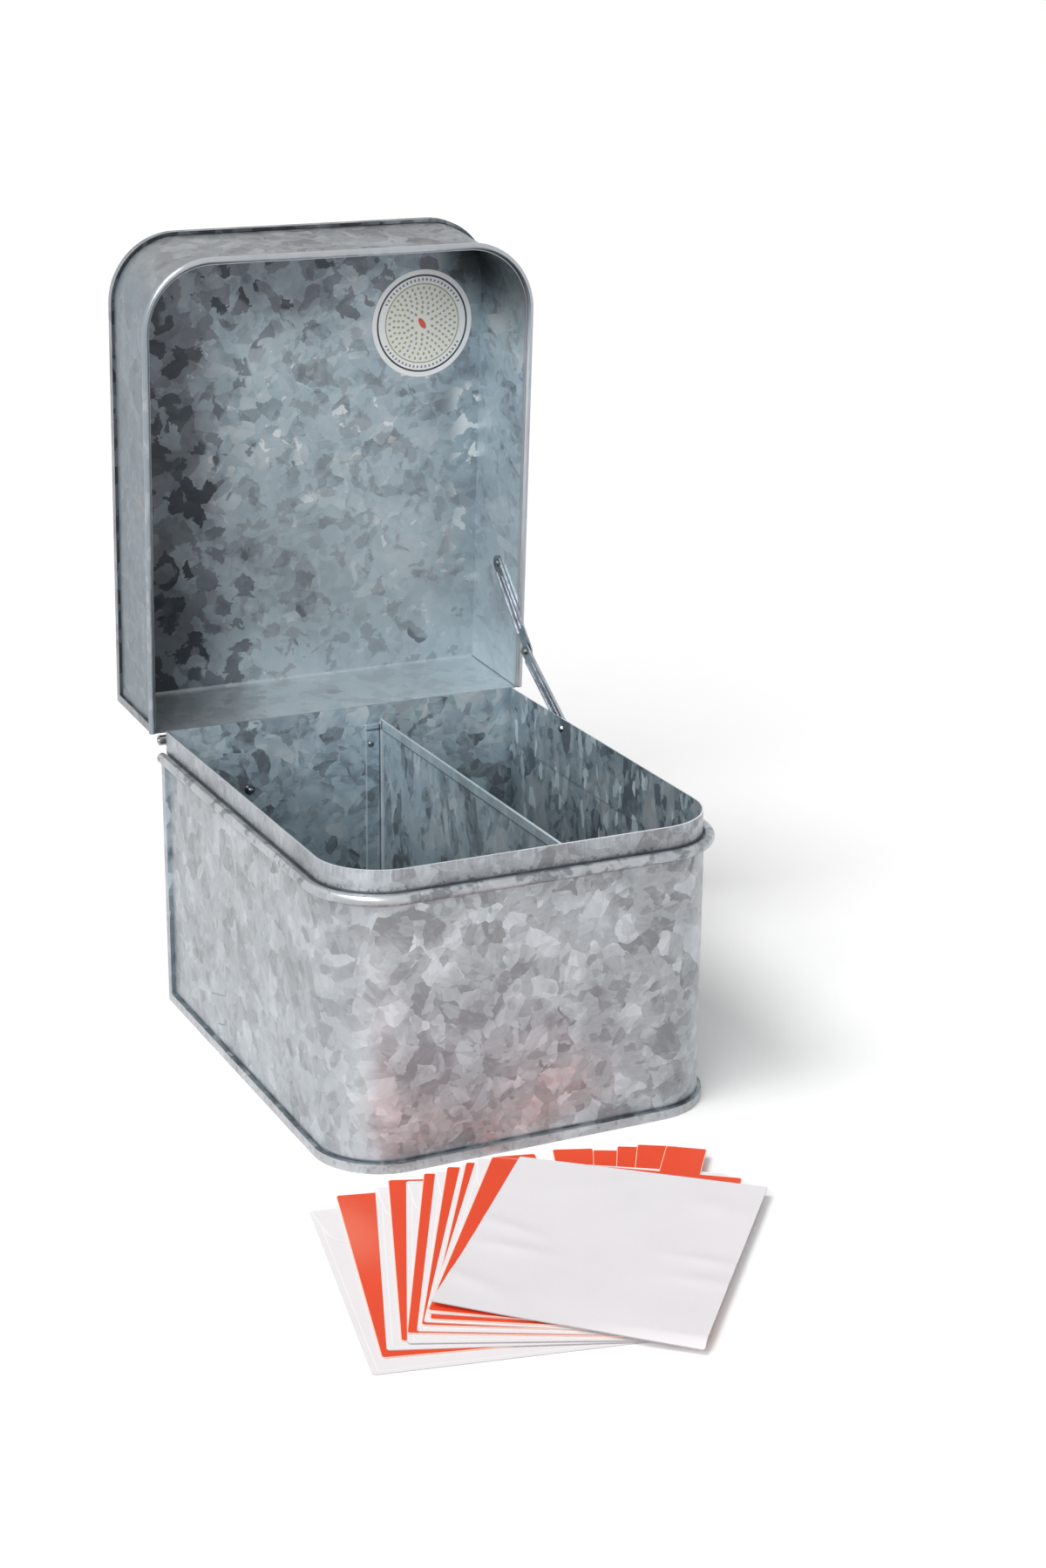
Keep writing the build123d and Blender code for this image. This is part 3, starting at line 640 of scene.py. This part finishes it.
def collar_marks(f, place, within, shade, roughness):
    """Fine brush marks and a painted highlight along the top edge, patches on the right, and at the
    foot dirt specks over a dark line of dirt and painted crevice shade.
    """
    metal = bpy.context.scene.seed_box.metal
    x, _, z = f.split(place)
    outside = f.opposite(within)
    strokes = f.noise(f.stretched(place, 1.0, 1.0, 0.06), 0.0012)[0]
    strokes = f.ramp(strokes, [(0.3, 0.25), (0.5, 0.5), (0.7, 0.75)])
    shade = f.mix(f.times(f.step(z, *BRUSHED_Z), 0.30), shade, strokes, "OVERLAY")
    patches = f.times(f.specks(place, *COLLAR_PATCHES), outside)
    patches = f.times(patches, f.step(x, *COLLAR_RIGHT_X, 0.25, 0.75))
    shade = f.tint(shade, patches, *COLLAR_PATCH)
    foot = f.times(f.fade(z, *COLLAR_DIRT_Z), f.specks(place, *COLLAR_DIRT))
    # The line at the collar's foot: dirt and painted crevice shade
    foot = f.most(foot, f.band(z, *COLLAR_LINE_Z))
    shade = f.tint(shade, f.times(foot, outside), metal.dirt_and_shade, 0.75)
    # Painted highlight along the neck's top edge
    edge = f.step(z, *NECK_EDGE_Z)
    shade = f.tint(painted_room_shading(f, place, within, shade), edge, *NECK_EDGE_HIGHLIGHT)
    return shade, f.blend(edge, roughness, NECK_ROUGHNESS)


def seam_marks(f, place, within, shade, roughness):
    """The double seam round the foot is smoother, with dirt on it."""
    metal = bpy.context.scene.seed_box.metal
    foot = f.times(f.fade(f.split(place)[2], *SEAM_Z), f.opposite(within))
    shade = f.tint(shade, foot, *SMOOTH_SEAM)
    shade = f.tint(shade, f.times(f.specks(place, *SEAM_DIRT), foot), metal.dirt_and_shade, 0.4)
    return painted_room_shading(f, place, within, shade), roughness


def divider_marks(f, place, within, shade, roughness):
    """Painted shade darkens the divider towards the front and downwards; the folded hem gets
    painted light, with a painted highlight on its top edge over a painted shadow line, and the back
    flange gets painted highlights on its bend and edge beside a painted shade line.
    """
    metal = bpy.context.scene.seed_box.metal
    x, y, z = f.split(place)
    # Painted shade, darker towards the front
    forward = f.step(y, *DIVIDER_Y, 0.5, 0.0)
    shade = f.tint(painted_room_shading(f, place, within, shade), forward, *DIVIDER_SHADE)
    # Painted light on the hem, a painted shadow line under it, and a painted highlight on its top
    # edge
    shade = f.tint(shade, f.step(z, *HEM_Z), *HEM_PAINTED_LIGHT)
    shade = f.tint(shade, f.band(z, *HEM_LINE_Z), metal.dirt_and_shade, 0.8)
    shade = f.tint(shade, f.step(z, *HEM_EDGE_Z), *HEM_EDGE_HIGHLIGHT)
    # On the back flange: a painted shade line, and painted highlights on its bend and edge
    flange = f.step(y, *FLANGE_Y)
    shade = f.tint(shade, f.times(f.band(x, *FLANGE_LINE_X), flange), metal.dirt_and_shade, 0.75)
    bright = f.most(f.band(x, *FLANGE_BEND_X), f.band(x, *FLANGE_EDGE_X))
    return f.tint(shade, f.times(bright, flange), *FLANGE_EDGE_HIGHLIGHT), roughness


def lid_marks(f, place, within, shade, roughness):
    """The rolled rim is smooth and pale; painted shade darkens the outside of the left wall, and
    inside the left, the front right corner, the fold beside it and the bend between the right and
    back walls, while painted light makes the right wall paler towards the back.
    """
    x, y, z = f.split(place)
    rim = f.fade(z, *RIM_Z)
    shade = f.tint(shade, rim, *SMOOTH_RIM)
    # Painted shade outside the lid's left wall, teal and darker, broken by flecks
    flecks = f.specks(f.stretched(place, 1.0, 0.5, 1.0), *LID_FLECKS)
    away = f.times(f.fade(x, *LID_OUTSIDE_X), f.opposite(within))
    shade = f.tint(shade, f.times(away, f.line(flecks, -0.45, 0.55)), *LID_OUTSIDE_SHADE)
    # Painted light on the right wall inside, paler towards the back
    side = f.times(f.step(y, *LID_SIDE_Y, 0.1, 0.6), f.step(x, *LID_SIDE_X), within)
    shade = f.tint(shade, side, *LID_SIDE_PAINTED_LIGHT)
    # Painted shade in the bend, the front right corner, the fold beside it and the left inside
    bend = f.times(f.step(x, *LID_BEND_X), f.step(y, *LID_BEND_Y), within)
    shade = f.tint(shade, bend, *LID_BEND_SHADE)
    corner = f.times(f.step(x, *LID_CORNER_X), f.fade(y, *LID_CORNER_Y), within, 0.93)
    shade = f.tint(shade, corner, *LID_CORNER_SHADE)
    fold = f.times(corner, f.step(z, *LID_FOLD_Z), f.fade(y, *LID_FOLD_Y))
    shade = f.tint(shade, fold, *LID_FOLD_SHADE)
    shade = f.tint(shade, f.times(f.fade(x, *LID_LEFT_X), within), *LID_LEFT_SHADOW)
    return shade, f.blend(rim, roughness, RIM_ROUGHNESS)


def lid_panel_marks(f, place, within, shade, roughness):
    """Painted shade darkens the lid's panel along its left side and its front, and darker flakes
    gather there; painted light pales it towards the back, a painted shade wedge darkens the front
    right corner, and painted highlights lie in glints by the right fold and along the back fold.
    """
    x, y, _ = f.split(place)
    jagged = f.wander(f.wander(place, 0.020, 0.016, 2.0), 0.0035, 0.006, 3.0, 0.65)
    first, second, third = f.split(f.cells(jagged, 0.0072))

    # Where painted shade falls: along the left side and the front of the panel
    top = f.times(f.fade(y, *PANEL_TOP_Y), f.step(x, *PANEL_TOP_X, 0.95, 0.45))
    near = f.most(f.fade(x, *PANEL_LEFT_X), top)
    near = f.math("ADD", near, f.line(f.noise(place, 0.022)[0], 0.7, -0.35))
    near = f.times(near, within)
    chance = f.times(near, 0.7)
    dark = f.step(f.line(second, 0.9, chance), 0.92, 0.95)
    black = f.step(f.line(third, 0.9, chance), 1.20, 1.24)
    faint = f.step(f.line(f.noise(place, 0.026)[0], 0.5, first), 1.00, 1.03)

    # Painted light towards the back, then faint flakes, painted shade where it falls, and the
    # darker flakes gathered there
    shade = f.tint(shade, f.times(f.step(y, *PANEL_PALE_Y, 0.0, 0.5), within), *PANEL_PAINTED_LIGHT)
    shade = f.tint(shade, f.times(faint, within), *PANEL_FAINT)
    shade = f.tint(shade, f.step(near, 0.0, 1.0, 0.0, 0.78), *PANEL_SHADE)
    shade = f.tint(shade, dark, *PANEL_DARK)
    shade = f.tint(shade, black, *PANEL_BLACK)
    # A painted shade wedge in the front right corner, painted highlights in glints by the right
    # fold, and a painted highlight along the back fold
    wedge = f.times(f.step(x, *WEDGE_X), f.fade(y, *WEDGE_Y), within)
    shade = f.tint(shade, wedge, *WEDGE_SHADE)
    glints = f.times(f.step(x, *GLINTS_X), within, f.step(first, 0.80, 0.82))
    shade = f.tint(shade, f.times(glints, f.band(y, *GLINTS_Y)), *GLINTS)
    return f.tint(shade, f.times(f.step(y, *PANEL_FOLD_Y), within), *PANEL_FOLD_HIGHLIGHT), roughness


def plated(name, tone, roughness, mottle=0.3):
    """Plain zinc-plated steel, with faint marks from handling."""
    f = Finish(name)
    place = f.add("TexCoord").outputs["Object"]
    fine = f.noise(place, 0.0006)[0]
    dark = tuple((1.0 - mottle) * part for part in tone)
    pale = scaled_tone(tone, 1.0 + 0.65 * mottle)
    blotch = f.noise(place, 0.004, 3.0, 0.6)[0]
    shade = f.ramp(blotch, [(0.32, dark), (0.52, tone), (0.75, pale)])
    rough = f.line(fine, 0.2, roughness - 0.1)
    normal = f.bump(fine, 0.1, 0.0002)
    look = {"Base Color": shade, "Metallic": 1.0, "Roughness": rough, "Normal": normal}
    return f.finish(look)


def paper_finish(name, tone, fibre, roughness, sheen_spot=None):
    """Paper or card stock: faint fibres, soft blotches and perhaps a spot of painted sheen."""
    f = Finish(name)
    place = f.add("TexCoord").outputs["Object"]
    cloud = f.noise(place, 0.03, 3.0)[0]
    fibres = f.noise(place, 0.0012, 4.0, 0.7)[0]
    dark = tuple((1.0 - 1.6 * fibre) * part for part in tone)
    pale = scaled_tone(tone, 1.0 + fibre)
    stops = [(0.3, dark), (0.5, tone), (0.7, pale)]
    shade = f.ramp(f.line(cloud, 0.6, f.times(fibres, 0.4)), stops)
    # Painted sheen: a soft paler spot of painted highlight
    if sheen_spot:
        off = f.vector("SUBTRACT", f.stretched(place, 1.0, SHEEN_SQUEEZE, 0.0), sheen_spot)
        spot = f.step(f.vector("LENGTH", off), 0.0, SHEEN_REACH, SHEEN_MOST, 0.0)
        shade = f.tint(shade, spot, *SHEEN_ORANGE)
    sockets = {"Base Color": shade, "Roughness": roughness, "Specular IOR Level": 0.25}
    return f.finish({**sockets, "Normal": f.bump(fibres, 0.15, 0.0002)})


def label_finish():
    """The printed paper label: rings, a round of seeds and a bud in the middle."""
    label = bpy.context.scene.seed_box.label
    f = Finish("label_print")
    place = shut_lid_place(f, f.add("TexCoord").outputs["Object"])
    off = f.vector("SUBTRACT", place, (label.middle_x, label.middle_y, 0.0))
    x, y, _ = f.split(f.scaled(off, 1.0 / label.radius))
    out = f.math("SQRT", f.math("ADD", f.times(x, x), f.times(y, y)))
    turn = f.math("DIVIDE", f.math("ARCTAN2", y, x), 2.0 * pi)

    stained = f.step(f.noise(place, 0.002, 3.0)[0], 0.4, 0.6, 0.0, 0.06)
    shade = f.tint(label.white, stained, *LABEL_STAIN)
    shade = f.tint(shade, f.fade(out, 0.72, 0.74), *LABEL_FIELD)
    seeds = f.band(out, *INNER_RING)
    for ring, half_length, count in SEED_RINGS:
        along = f.math("DIVIDE", f.math("SUBTRACT", out, ring), half_length)
        phase = f.math("FRACT", f.line(turn, float(count), 40.0 + 5.0 * ring))
        across = f.math("DIVIDE", f.math("SUBTRACT", phase, 0.5), SEED_WIDTH)
        oval = f.math("ADD", f.times(across, across), f.times(along, along))
        seeds = f.most(seeds, f.fade(oval, 0.85, 1.15))
    shade = f.tint(shade, seeds, label.olive)

    ticks = f.band(f.math("FRACT", f.line(turn, TICKS, TICKS + 0.5)), 0.5, 0.16, 0.1)
    ticks = f.times(ticks, f.band(out, *TICK_RING))
    ticks = f.times(ticks, f.step(f.math("ABSOLUTE", y), 0.36, 0.38), 0.8)
    shade = f.tint(shade, f.most(ticks, f.band(out, *DARK_RING)), label.ink)

    flat = f.add("CombineXYZ", {0: x, 1: y}).outputs[0]
    leaning = {0: flat, "Angle": BUD_TURN}
    leaning = f.add("VectorRotate", leaning, rotation_type="Z_AXIS").outputs[0]
    a, b, _ = f.split(f.vector("DIVIDE", leaning, BUD_SIZE))
    bud = f.fade(f.math("ADD", f.times(a, a), f.times(b, b)), 0.85, 1.1)
    return f.finish({"Base Color": f.tint(shade, bud, label.bud), "Roughness": 0.38})


def dress(material, *nodes):
    """Gives CAD nodes their finish."""
    for node in nodes:
        for slot in frame["nodes"][node].material_slots:
            slot.material = material


class SEEDBOX_OT_base(bpy.types.Operator):
    """Finish the wall, collar and bottom of the box"""

    bl_idname = "seedbox.base"
    bl_label = "Box"

    def execute(self, context):
        # The levels scale each part's tones; the inside levels are painted light, set part by part
        for node, name, marks, contrast, level in (
            ("base_wall", "galvanized_wall", base_wall_marks, (0.88, 1.15), (1.0, 1.2)),
            ("neck_collar", "galvanized_collar", collar_marks, (0.6, 1.15), (1.0, 1.2)),
            ("base_tray", "galvanized_tray", seam_marks, (0.88, 0.90), (1.0, 1.14)),
        ):
            dress(galvanized(name, BOX_MIDDLE, marks, contrast, level), node)
        return {"FINISHED"}


class SEEDBOX_OT_divider(bpy.types.Operator):
    """Finish the divider"""

    bl_idname = "seedbox.divider"
    bl_label = "Divider"

    def execute(self, context):
        # The inside level is painted light
        contrast, level = (1.0, 0.65), (1.0, 1.1)
        finish = galvanized("galvanized_divider", FAR_UP, divider_marks, contrast, level, 0.25)
        dress(finish, "divider")
        return {"FINISHED"}


class SEEDBOX_OT_lid(bpy.types.Operator):
    """Finish the lid's wall and panel"""

    bl_idname = "seedbox.lid"
    bl_label = "Lid"

    def execute(self, context):
        # The lid's outside level is painted shade, darker than the box's, which stays with the lid
        # when shut; the inside levels are painted light and shade, set part by part
        for node, name, marks, level in (
            ("lid_wall", "galvanized_lid_wall", lid_marks, (0.62, 1.25)),
            ("lid_tray", "galvanized_lid_panel", lid_panel_marks, (0.68, 0.75)),
        ):
            finish = galvanized(name, LID_MIDDLE, marks, (0.8, 0.55), level, 0.6, on_lid=True)
            dress(finish, node)
        return {"FINISHED"}


class SEEDBOX_OT_label(bpy.types.Operator):
    """Print the label inside the lid"""

    bl_idname = "seedbox.label"
    bl_label = "Label"

    def execute(self, context):
        dress(label_finish(), "lid_label")
        return {"FINISHED"}


class SEEDBOX_OT_hardware(bpy.types.Operator):
    """Finish the hinge, the stay and the rivets"""

    bl_idname = "seedbox.hardware"
    bl_label = "Hardware"

    def execute(self, context):
        plate = plated("zinc_plate", PLATE, 0.38, 0.12)
        dress(plate, "hinge_base_leaf", "hinge_lid_leaf", "hinge_pin")
        dress(plated("stay_steel", LINK, 0.32), "stay_lower_link", "stay_upper_link")
        rivet = plated("rivet_steel", RIVET, 0.30)
        dress(rivet, "divider_rivets", "stay_neck_rivet", "stay_knee_rivet", "stay_lid_rivet")
        dress(plated("pop_rivet_steel", POP_RIVET, 0.2), "hinge_pop_rivets")
        return {"FINISHED"}


def new_object(name, shape, *materials):
    """Makes an object of a finished shape."""
    mesh = bpy.data.meshes.new(name)
    shape.to_mesh(mesh)
    shape.free()
    piece = bpy.data.objects.new(name, mesh)
    bpy.context.scene.collection.objects.link(piece)
    for material in materials:
        mesh.materials.append(material)
    return piece


def sheet_place(node, straight):
    """Where a sheet lies, found from its straight sides: the middle of its underside, and its turn.

    Its thickness comes with it.
    """
    mesh = frame["nodes"][node].data
    points = [vertex.co.copy() for vertex in mesh.vertices]
    sides = [points[edge.vertices[1]] - points[edge.vertices[0]] for edge in mesh.edges]
    side = min(sides, key=lambda edge: abs(edge.length - straight))
    if side.y < 0.0:
        side = -side
    up = Vector((side.x, side.y, 0.0)).normalized()
    across = Vector((up.y, -up.x, 0.0))
    low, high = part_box(node)
    middle = Vector((0.0, 0.0, low.z))
    for way in (across, up):
        reach = [point.dot(way) for point in points]
        middle += way * (min(reach) + max(reach)) / 2.0
    place = Matrix((across, up, Vector((0.0, 0.0, 1.0)))).transposed().to_4x4()
    place.translation = middle
    return place, high.z - low.z


def flat_sheet(width, height, columns=1, rows=1):
    """A flat sheet about the origin."""
    shape = bmesh.new()
    bmesh.ops.create_grid(shape, x_segments=columns, y_segments=rows, size=0.5)
    bmesh.ops.scale(shape, vec=(width, height, 1.0), verts=shape.verts[:])
    return shape


def rounded(shape, kind, corners, radius, segments=5):
    bmesh.ops.bevel(
        shape, geom=corners, offset=radius, segments=segments, profile=0.5, affect=kind, material=-1
    )


def thicken(shape, up):
    """Gives a flat sheet its thickness, upwards from where it lies."""
    made = bmesh.ops.extrude_face_region(shape, geom=shape.faces[:])["geom"]
    points = [item for item in made if isinstance(item, bmesh.types.BMVert)]
    bmesh.ops.translate(shape, verts=points, vec=(0.0, 0.0, up))
    bmesh.ops.recalc_face_normals(shape, faces=shape.faces[:])
    return [item for item in made if isinstance(item, bmesh.types.BMFace)]


def inset(shape, faces, width, slot=FACE):
    """Insets faces, and gives the strip round them a material slot."""
    strip = bmesh.ops.inset_region(shape, faces=faces, thickness=width, use_even_offset=True)
    for face in strip["faces"]:
        face.material_index = slot


def rim_faces(shape, slot):
    """The upright faces round a flat piece get their own material slot."""
    shape.normal_update()
    for face in shape.faces:
        if abs(face.normal.z) < 0.5:
            face.material_index = slot


def folded_flap(paper, thickness):
    """The flap that lies folded down over the pocket's top end."""
    flap = flat_sheet(paper.width, paper.flap_depth)
    low = [vertex for vertex in flap.verts if vertex.co.y < 0.0]
    high = [vertex for vertex in flap.verts if vertex.co.y > 0.0]
    for vertex in low:
        vertex.co.x -= (1.0 if vertex.co.x > 0.0 else -1.0) * paper.flap_taper
    rounded(flap, "VERTICES", low, paper.flap_corner, 10)
    rounded(flap, "VERTICES", high, paper.corner)
    shift = (0.0, (paper.height - paper.flap_depth) / 2.0, thickness - paper.flap_sheet)
    bmesh.ops.translate(flap, verts=flap.verts[:], vec=shift)
    inset(flap, thicken(flap, paper.flap_sheet), paper.flap_edge, CREASE_HIGHLIGHT)
    folded = bpy.data.meshes.new("flap")
    flap.to_mesh(folded)
    flap.free()
    return folded


def flapped_envelope(paper, thickness):
    """An envelope lying flap up: a flat pocket with pressed sides, and the flap over it."""
    shape = flat_sheet(paper.width, paper.height)
    top = thicken(shape, thickness - paper.flap_sheet)
    upright = [edge for edge in shape.edges if edge.verts[0].co.z != edge.verts[1].co.z]
    inset(shape, top, paper.side_seam)
    inset(shape, top, 0.5 * paper.flap_edge, CREASE_HIGHLIGHT)
    rounded(shape, "EDGES", upright, paper.corner)
    shape.from_mesh(folded_flap(paper, thickness))
    return shape


def ridge(across, along, x, y, turn, long, wide, high):
    """A soft wrinkle at x, y."""
    a = (across - x) * cos(turn) + (along - y) * sin(turn)
    b = (along - y) * cos(turn) - (across - x) * sin(turn)
    return high * exp(-((a / long) ** 2) - (b / wide) ** 2)


def bent_envelope(paper, thickness):
    """The top envelope, plain side up and softly wrinkled.

    One near corner lifts, and the other droops off the stack.
    """
    shape = flat_sheet(paper.width, paper.height, 70, 88)
    corners = [vertex for vertex in shape.verts if len(vertex.link_edges) == 2]
    rounded(shape, "VERTICES", corners, 0.6 * paper.corner, 3)
    for vertex in shape.verts:
        x, y = vertex.co.xy
        left = max(0.0, -2.0 * x / paper.width)
        right = max(0.0, 2.0 * x / paper.width)
        near = max(0.0, -2.0 * y / paper.height)
        beyond = min(1.0, max(0.0, (DROOP_START - y) / DROOP_REACH))
        lift = paper.corner_lift * left**1.3 * near**1.8
        droop = paper.corner_droop * right * beyond**1.6
        vertex.co.z = lift - droop + sum(ridge(x, y, *wrinkle) for wrinkle in WRINKLES)
    thicken(shape, thickness)
    return shape


def edged_card(node, width):
    """A tabbed card with its cut edge showing pale round the face."""
    shape = bmesh.new()
    shape.from_mesh(frame["nodes"][node].data)
    bmesh.ops.remove_doubles(shape, verts=shape.verts[:], dist=1e-6)
    bmesh.ops.dissolve_limit(
        shape, angle_limit=radians(1.0), verts=shape.verts[:], edges=shape.edges[:]
    )
    inset(shape, [face for face in shape.faces if face.normal.z > 0.9], width, CUT_EDGE)
    rim_faces(shape, CUT_EDGE)
    return shape


def settle(shape, name, node, slot, *materials):
    """Puts a finished paper piece in place of its CAD node."""
    piece = new_object(name, shape, *materials)
    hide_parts(node)
    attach(piece, "card_fan")


class SEEDBOX_OT_envelopes(bpy.types.Operator):
    """Make the seed envelopes"""

    bl_idname = "seedbox.envelopes"
    bl_label = "Seed envelopes"

    def execute(self, context):
        paper = context.scene.seed_box.paper
        white = paper_finish("envelope_paper", paper.white, 0.02, 0.6)
        pale = paper_finish("pale_envelope_paper", paper.pale, 0.02, 0.6)
        # The pressed lines' pale tone is a painted highlight
        crease_highlight = paper_finish("pressed_paper_highlight", paper.crease_highlight, 0.01, 0.6)
        # Painted shade on the envelopes' upright edges
        rim = paper_finish("paper_rim_painted_shade", paper.rim, 0.05, 0.7)
        for number in range(1, ENVELOPES + 1):
            face, make = (white, bent_envelope) if number == ENVELOPES else (pale, flapped_envelope)
            node = f"seed_envelope_{number}"
            place, thickness = sheet_place(node, paper.height - 2.0 * paper.corner)
            shape = make(paper, thickness)
            rim_faces(shape, RIM)
            bmesh.ops.transform(shape, matrix=place, verts=shape.verts[:])
            settle(shape, f"envelope_{number}", node, "envelope_paper", face, crease_highlight, rim)
        return {"FINISHED"}


class SEEDBOX_OT_cards(bpy.types.Operator):
    """Make the index cards"""

    bl_idname = "seedbox.cards"
    bl_label = "Index cards"

    def execute(self, context):
        paper = context.scene.seed_box.paper
        stock = paper_finish("index_card_stock", paper.orange, 0.05, 0.55)
        cut = paper_finish("cut_card_edge", paper.orange_cut, 0.03, 0.6)
        low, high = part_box("index_card_1")
        middle = (low + high) / 2.0
        # Where the painted sheen lies on the lowest card
        spot = (middle.x + SHEEN_OFF[0], SHEEN_SQUEEZE * middle.y + SHEEN_OFF[1], 0.0)
        sheened = paper_finish("painted_sheen_card_stock", paper.orange, 0.05, 0.55, spot)
        for number in range(1, CARDS + 1):
            node = f"index_card_{number}"
            face = sheened if number == 1 else stock
            shape = edged_card(node, paper.cut_width)
            settle(shape, f"card_{number}", node, "index_card_stock", face, cut)
        return {"FINISHED"}


class SEEDBOX_OT_stage(bpy.types.Operator):
    """Set out the floor, lamps, sky and camera"""

    bl_idname = "seedbox.stage"
    bl_label = "Stage"

    def execute(self, context):
        stage = context.scene.seed_box.stage
        self.floor(stage)
        self.sky(stage)
        self.soft_light("key_light", KEY_WAY, stage.key, KEY_SPREAD * stage.spread)
        self.soft_light("fill_light", FILL_WAY, stage.fill, stage.spread)
        self.camera(context)
        context.scene.view_settings.view_transform = "Standard"
        return {"FINISHED"}

    def floor(self, stage):
        """A pale floor, which the camera and mirrors see as a little brighter than it is lit."""
        f = Finish("floor_paint")
        speckle = f.noise(f.add("TexCoord").outputs["Object"], 0.02)[0]
        pale = f.ramp(speckle, [(0.4, stage.floor), (0.6, blended(stage.floor, WHITE, 0.15))])
        path = f.add("LightPath").outputs
        seen = f.most(path["Is Camera Ray"], path["Is Glossy Ray"])
        seen = f.most(seen, path["Is Transmission Ray"])
        glow = {"Emission Color": WHITE, "Emission Strength": f.times(seen, 0.06)}
        f.finish({"Base Color": pale, "Roughness": 0.9, "Specular IOR Level": 0.0, **glow})
        piece = new_object("floor", flat_sheet(stage.floor_size, stage.floor_size), f.material)

    def soft_light(self, name, way, strength, spread):
        data = bpy.data.lights.new(name, "SUN")
        data.energy = strength
        data.angle = spread
        light = bpy.data.objects.new(name, data)
        bpy.context.scene.collection.objects.link(light)
        light.rotation_euler = Vector(way).to_track_quat("-Z", "Y").to_euler()

    def sky(self, stage):
        """Even light, which the camera and mirrors see as plain white."""
        world = bpy.data.worlds.new("studio")
        world.use_nodes = True
        bpy.context.scene.world = world
        tree = world.node_tree
        light = tree.nodes["Background"]
        light.inputs["Color"].default_value = (*WHITE, 1.0)
        path = tree.nodes.new("ShaderNodeLightPath")
        first = tree.nodes.new("ShaderNodeMath")
        second = tree.nodes.new("ShaderNodeMath")
        level = tree.nodes.new("ShaderNodeMapRange")
        first.operation = second.operation = "MAXIMUM"
        tree.links.new(path.outputs["Is Camera Ray"], first.inputs[0])
        tree.links.new(path.outputs["Is Glossy Ray"], first.inputs[1])
        tree.links.new(first.outputs[0], second.inputs[0])
        tree.links.new(path.outputs["Is Transmission Ray"], second.inputs[1])
        tree.links.new(second.outputs[0], level.inputs["Value"])
        level.inputs["To Min"].default_value = stage.world
        level.inputs["To Max"].default_value = 1.0
        tree.links.new(level.outputs[0], light.inputs["Strength"])

    def camera(self, context):
        turn, rise, roll = CAMERA_TURN, CAMERA_RISE, CAMERA_ROLL
        back = Vector((sin(turn) * cos(rise), -cos(turn) * cos(rise), sin(rise)))
        right = Vector((cos(turn), sin(turn), 0.0))
        up = back.cross(right)
        across = cos(roll) * right + sin(roll) * up
        upward = cos(roll) * up - sin(roll) * right
        data = bpy.data.cameras.new("camera")
        data.sensor_fit = "VERTICAL"
        data.sensor_height = data.sensor_width = SENSOR
        data.lens = SENSOR * FOCAL_LENGTH / FRAME_HEIGHT
        data.clip_start = 0.01
        camera = bpy.data.objects.new("camera", data)
        context.scene.collection.objects.link(camera)
        facing = Matrix((across, upward, back)).transposed().to_4x4()
        camera.matrix_world = Matrix.Translation(CAMERA_PLACE) @ facing
        context.scene.camera = camera


class SEEDBOX_PT_panel(bpy.types.Panel):
    """Pieces and finishes of the seed box"""

    bl_idname = "SEEDBOX_PT_panel"
    bl_label = "Seed box"
    bl_space_type = "VIEW_3D"
    bl_region_type = "UI"
    bl_category = "Seed Box"

    def draw(self, context):
        for operator in OPERATORS:
            self.layout.operator(operator.bl_idname)
        for group in ("metal", "paper", "label", "stage"):
            settings = getattr(context.scene.seed_box, group)
            box = self.layout.box()
            for name in settings.__annotations__:
                box.prop(settings, name)


SETTINGS = (SheetMetal, Paper, Label, Stage, SeedBoxSettings)
OPERATORS = (
    SEEDBOX_OT_base,
    SEEDBOX_OT_divider,
    SEEDBOX_OT_lid,
    SEEDBOX_OT_label,
    SEEDBOX_OT_hardware,
    SEEDBOX_OT_envelopes,
    SEEDBOX_OT_cards,
    SEEDBOX_OT_stage,
)


def register():
    for item in SETTINGS + OPERATORS + (SEEDBOX_PT_panel,):
        bpy.utils.register_class(item)
    bpy.types.Scene.seed_box = PointerProperty(type=SeedBoxSettings)


def unregister():
    del bpy.types.Scene.seed_box
    for item in reversed(SETTINGS + OPERATORS + (SEEDBOX_PT_panel,)):
        bpy.utils.unregister_class(item)


def main():
    register()
    for operator in OPERATORS:
        group, name = operator.bl_idname.split(".")
        getattr(getattr(bpy.ops, group), name)()


if __name__ == "__main__":
    main()
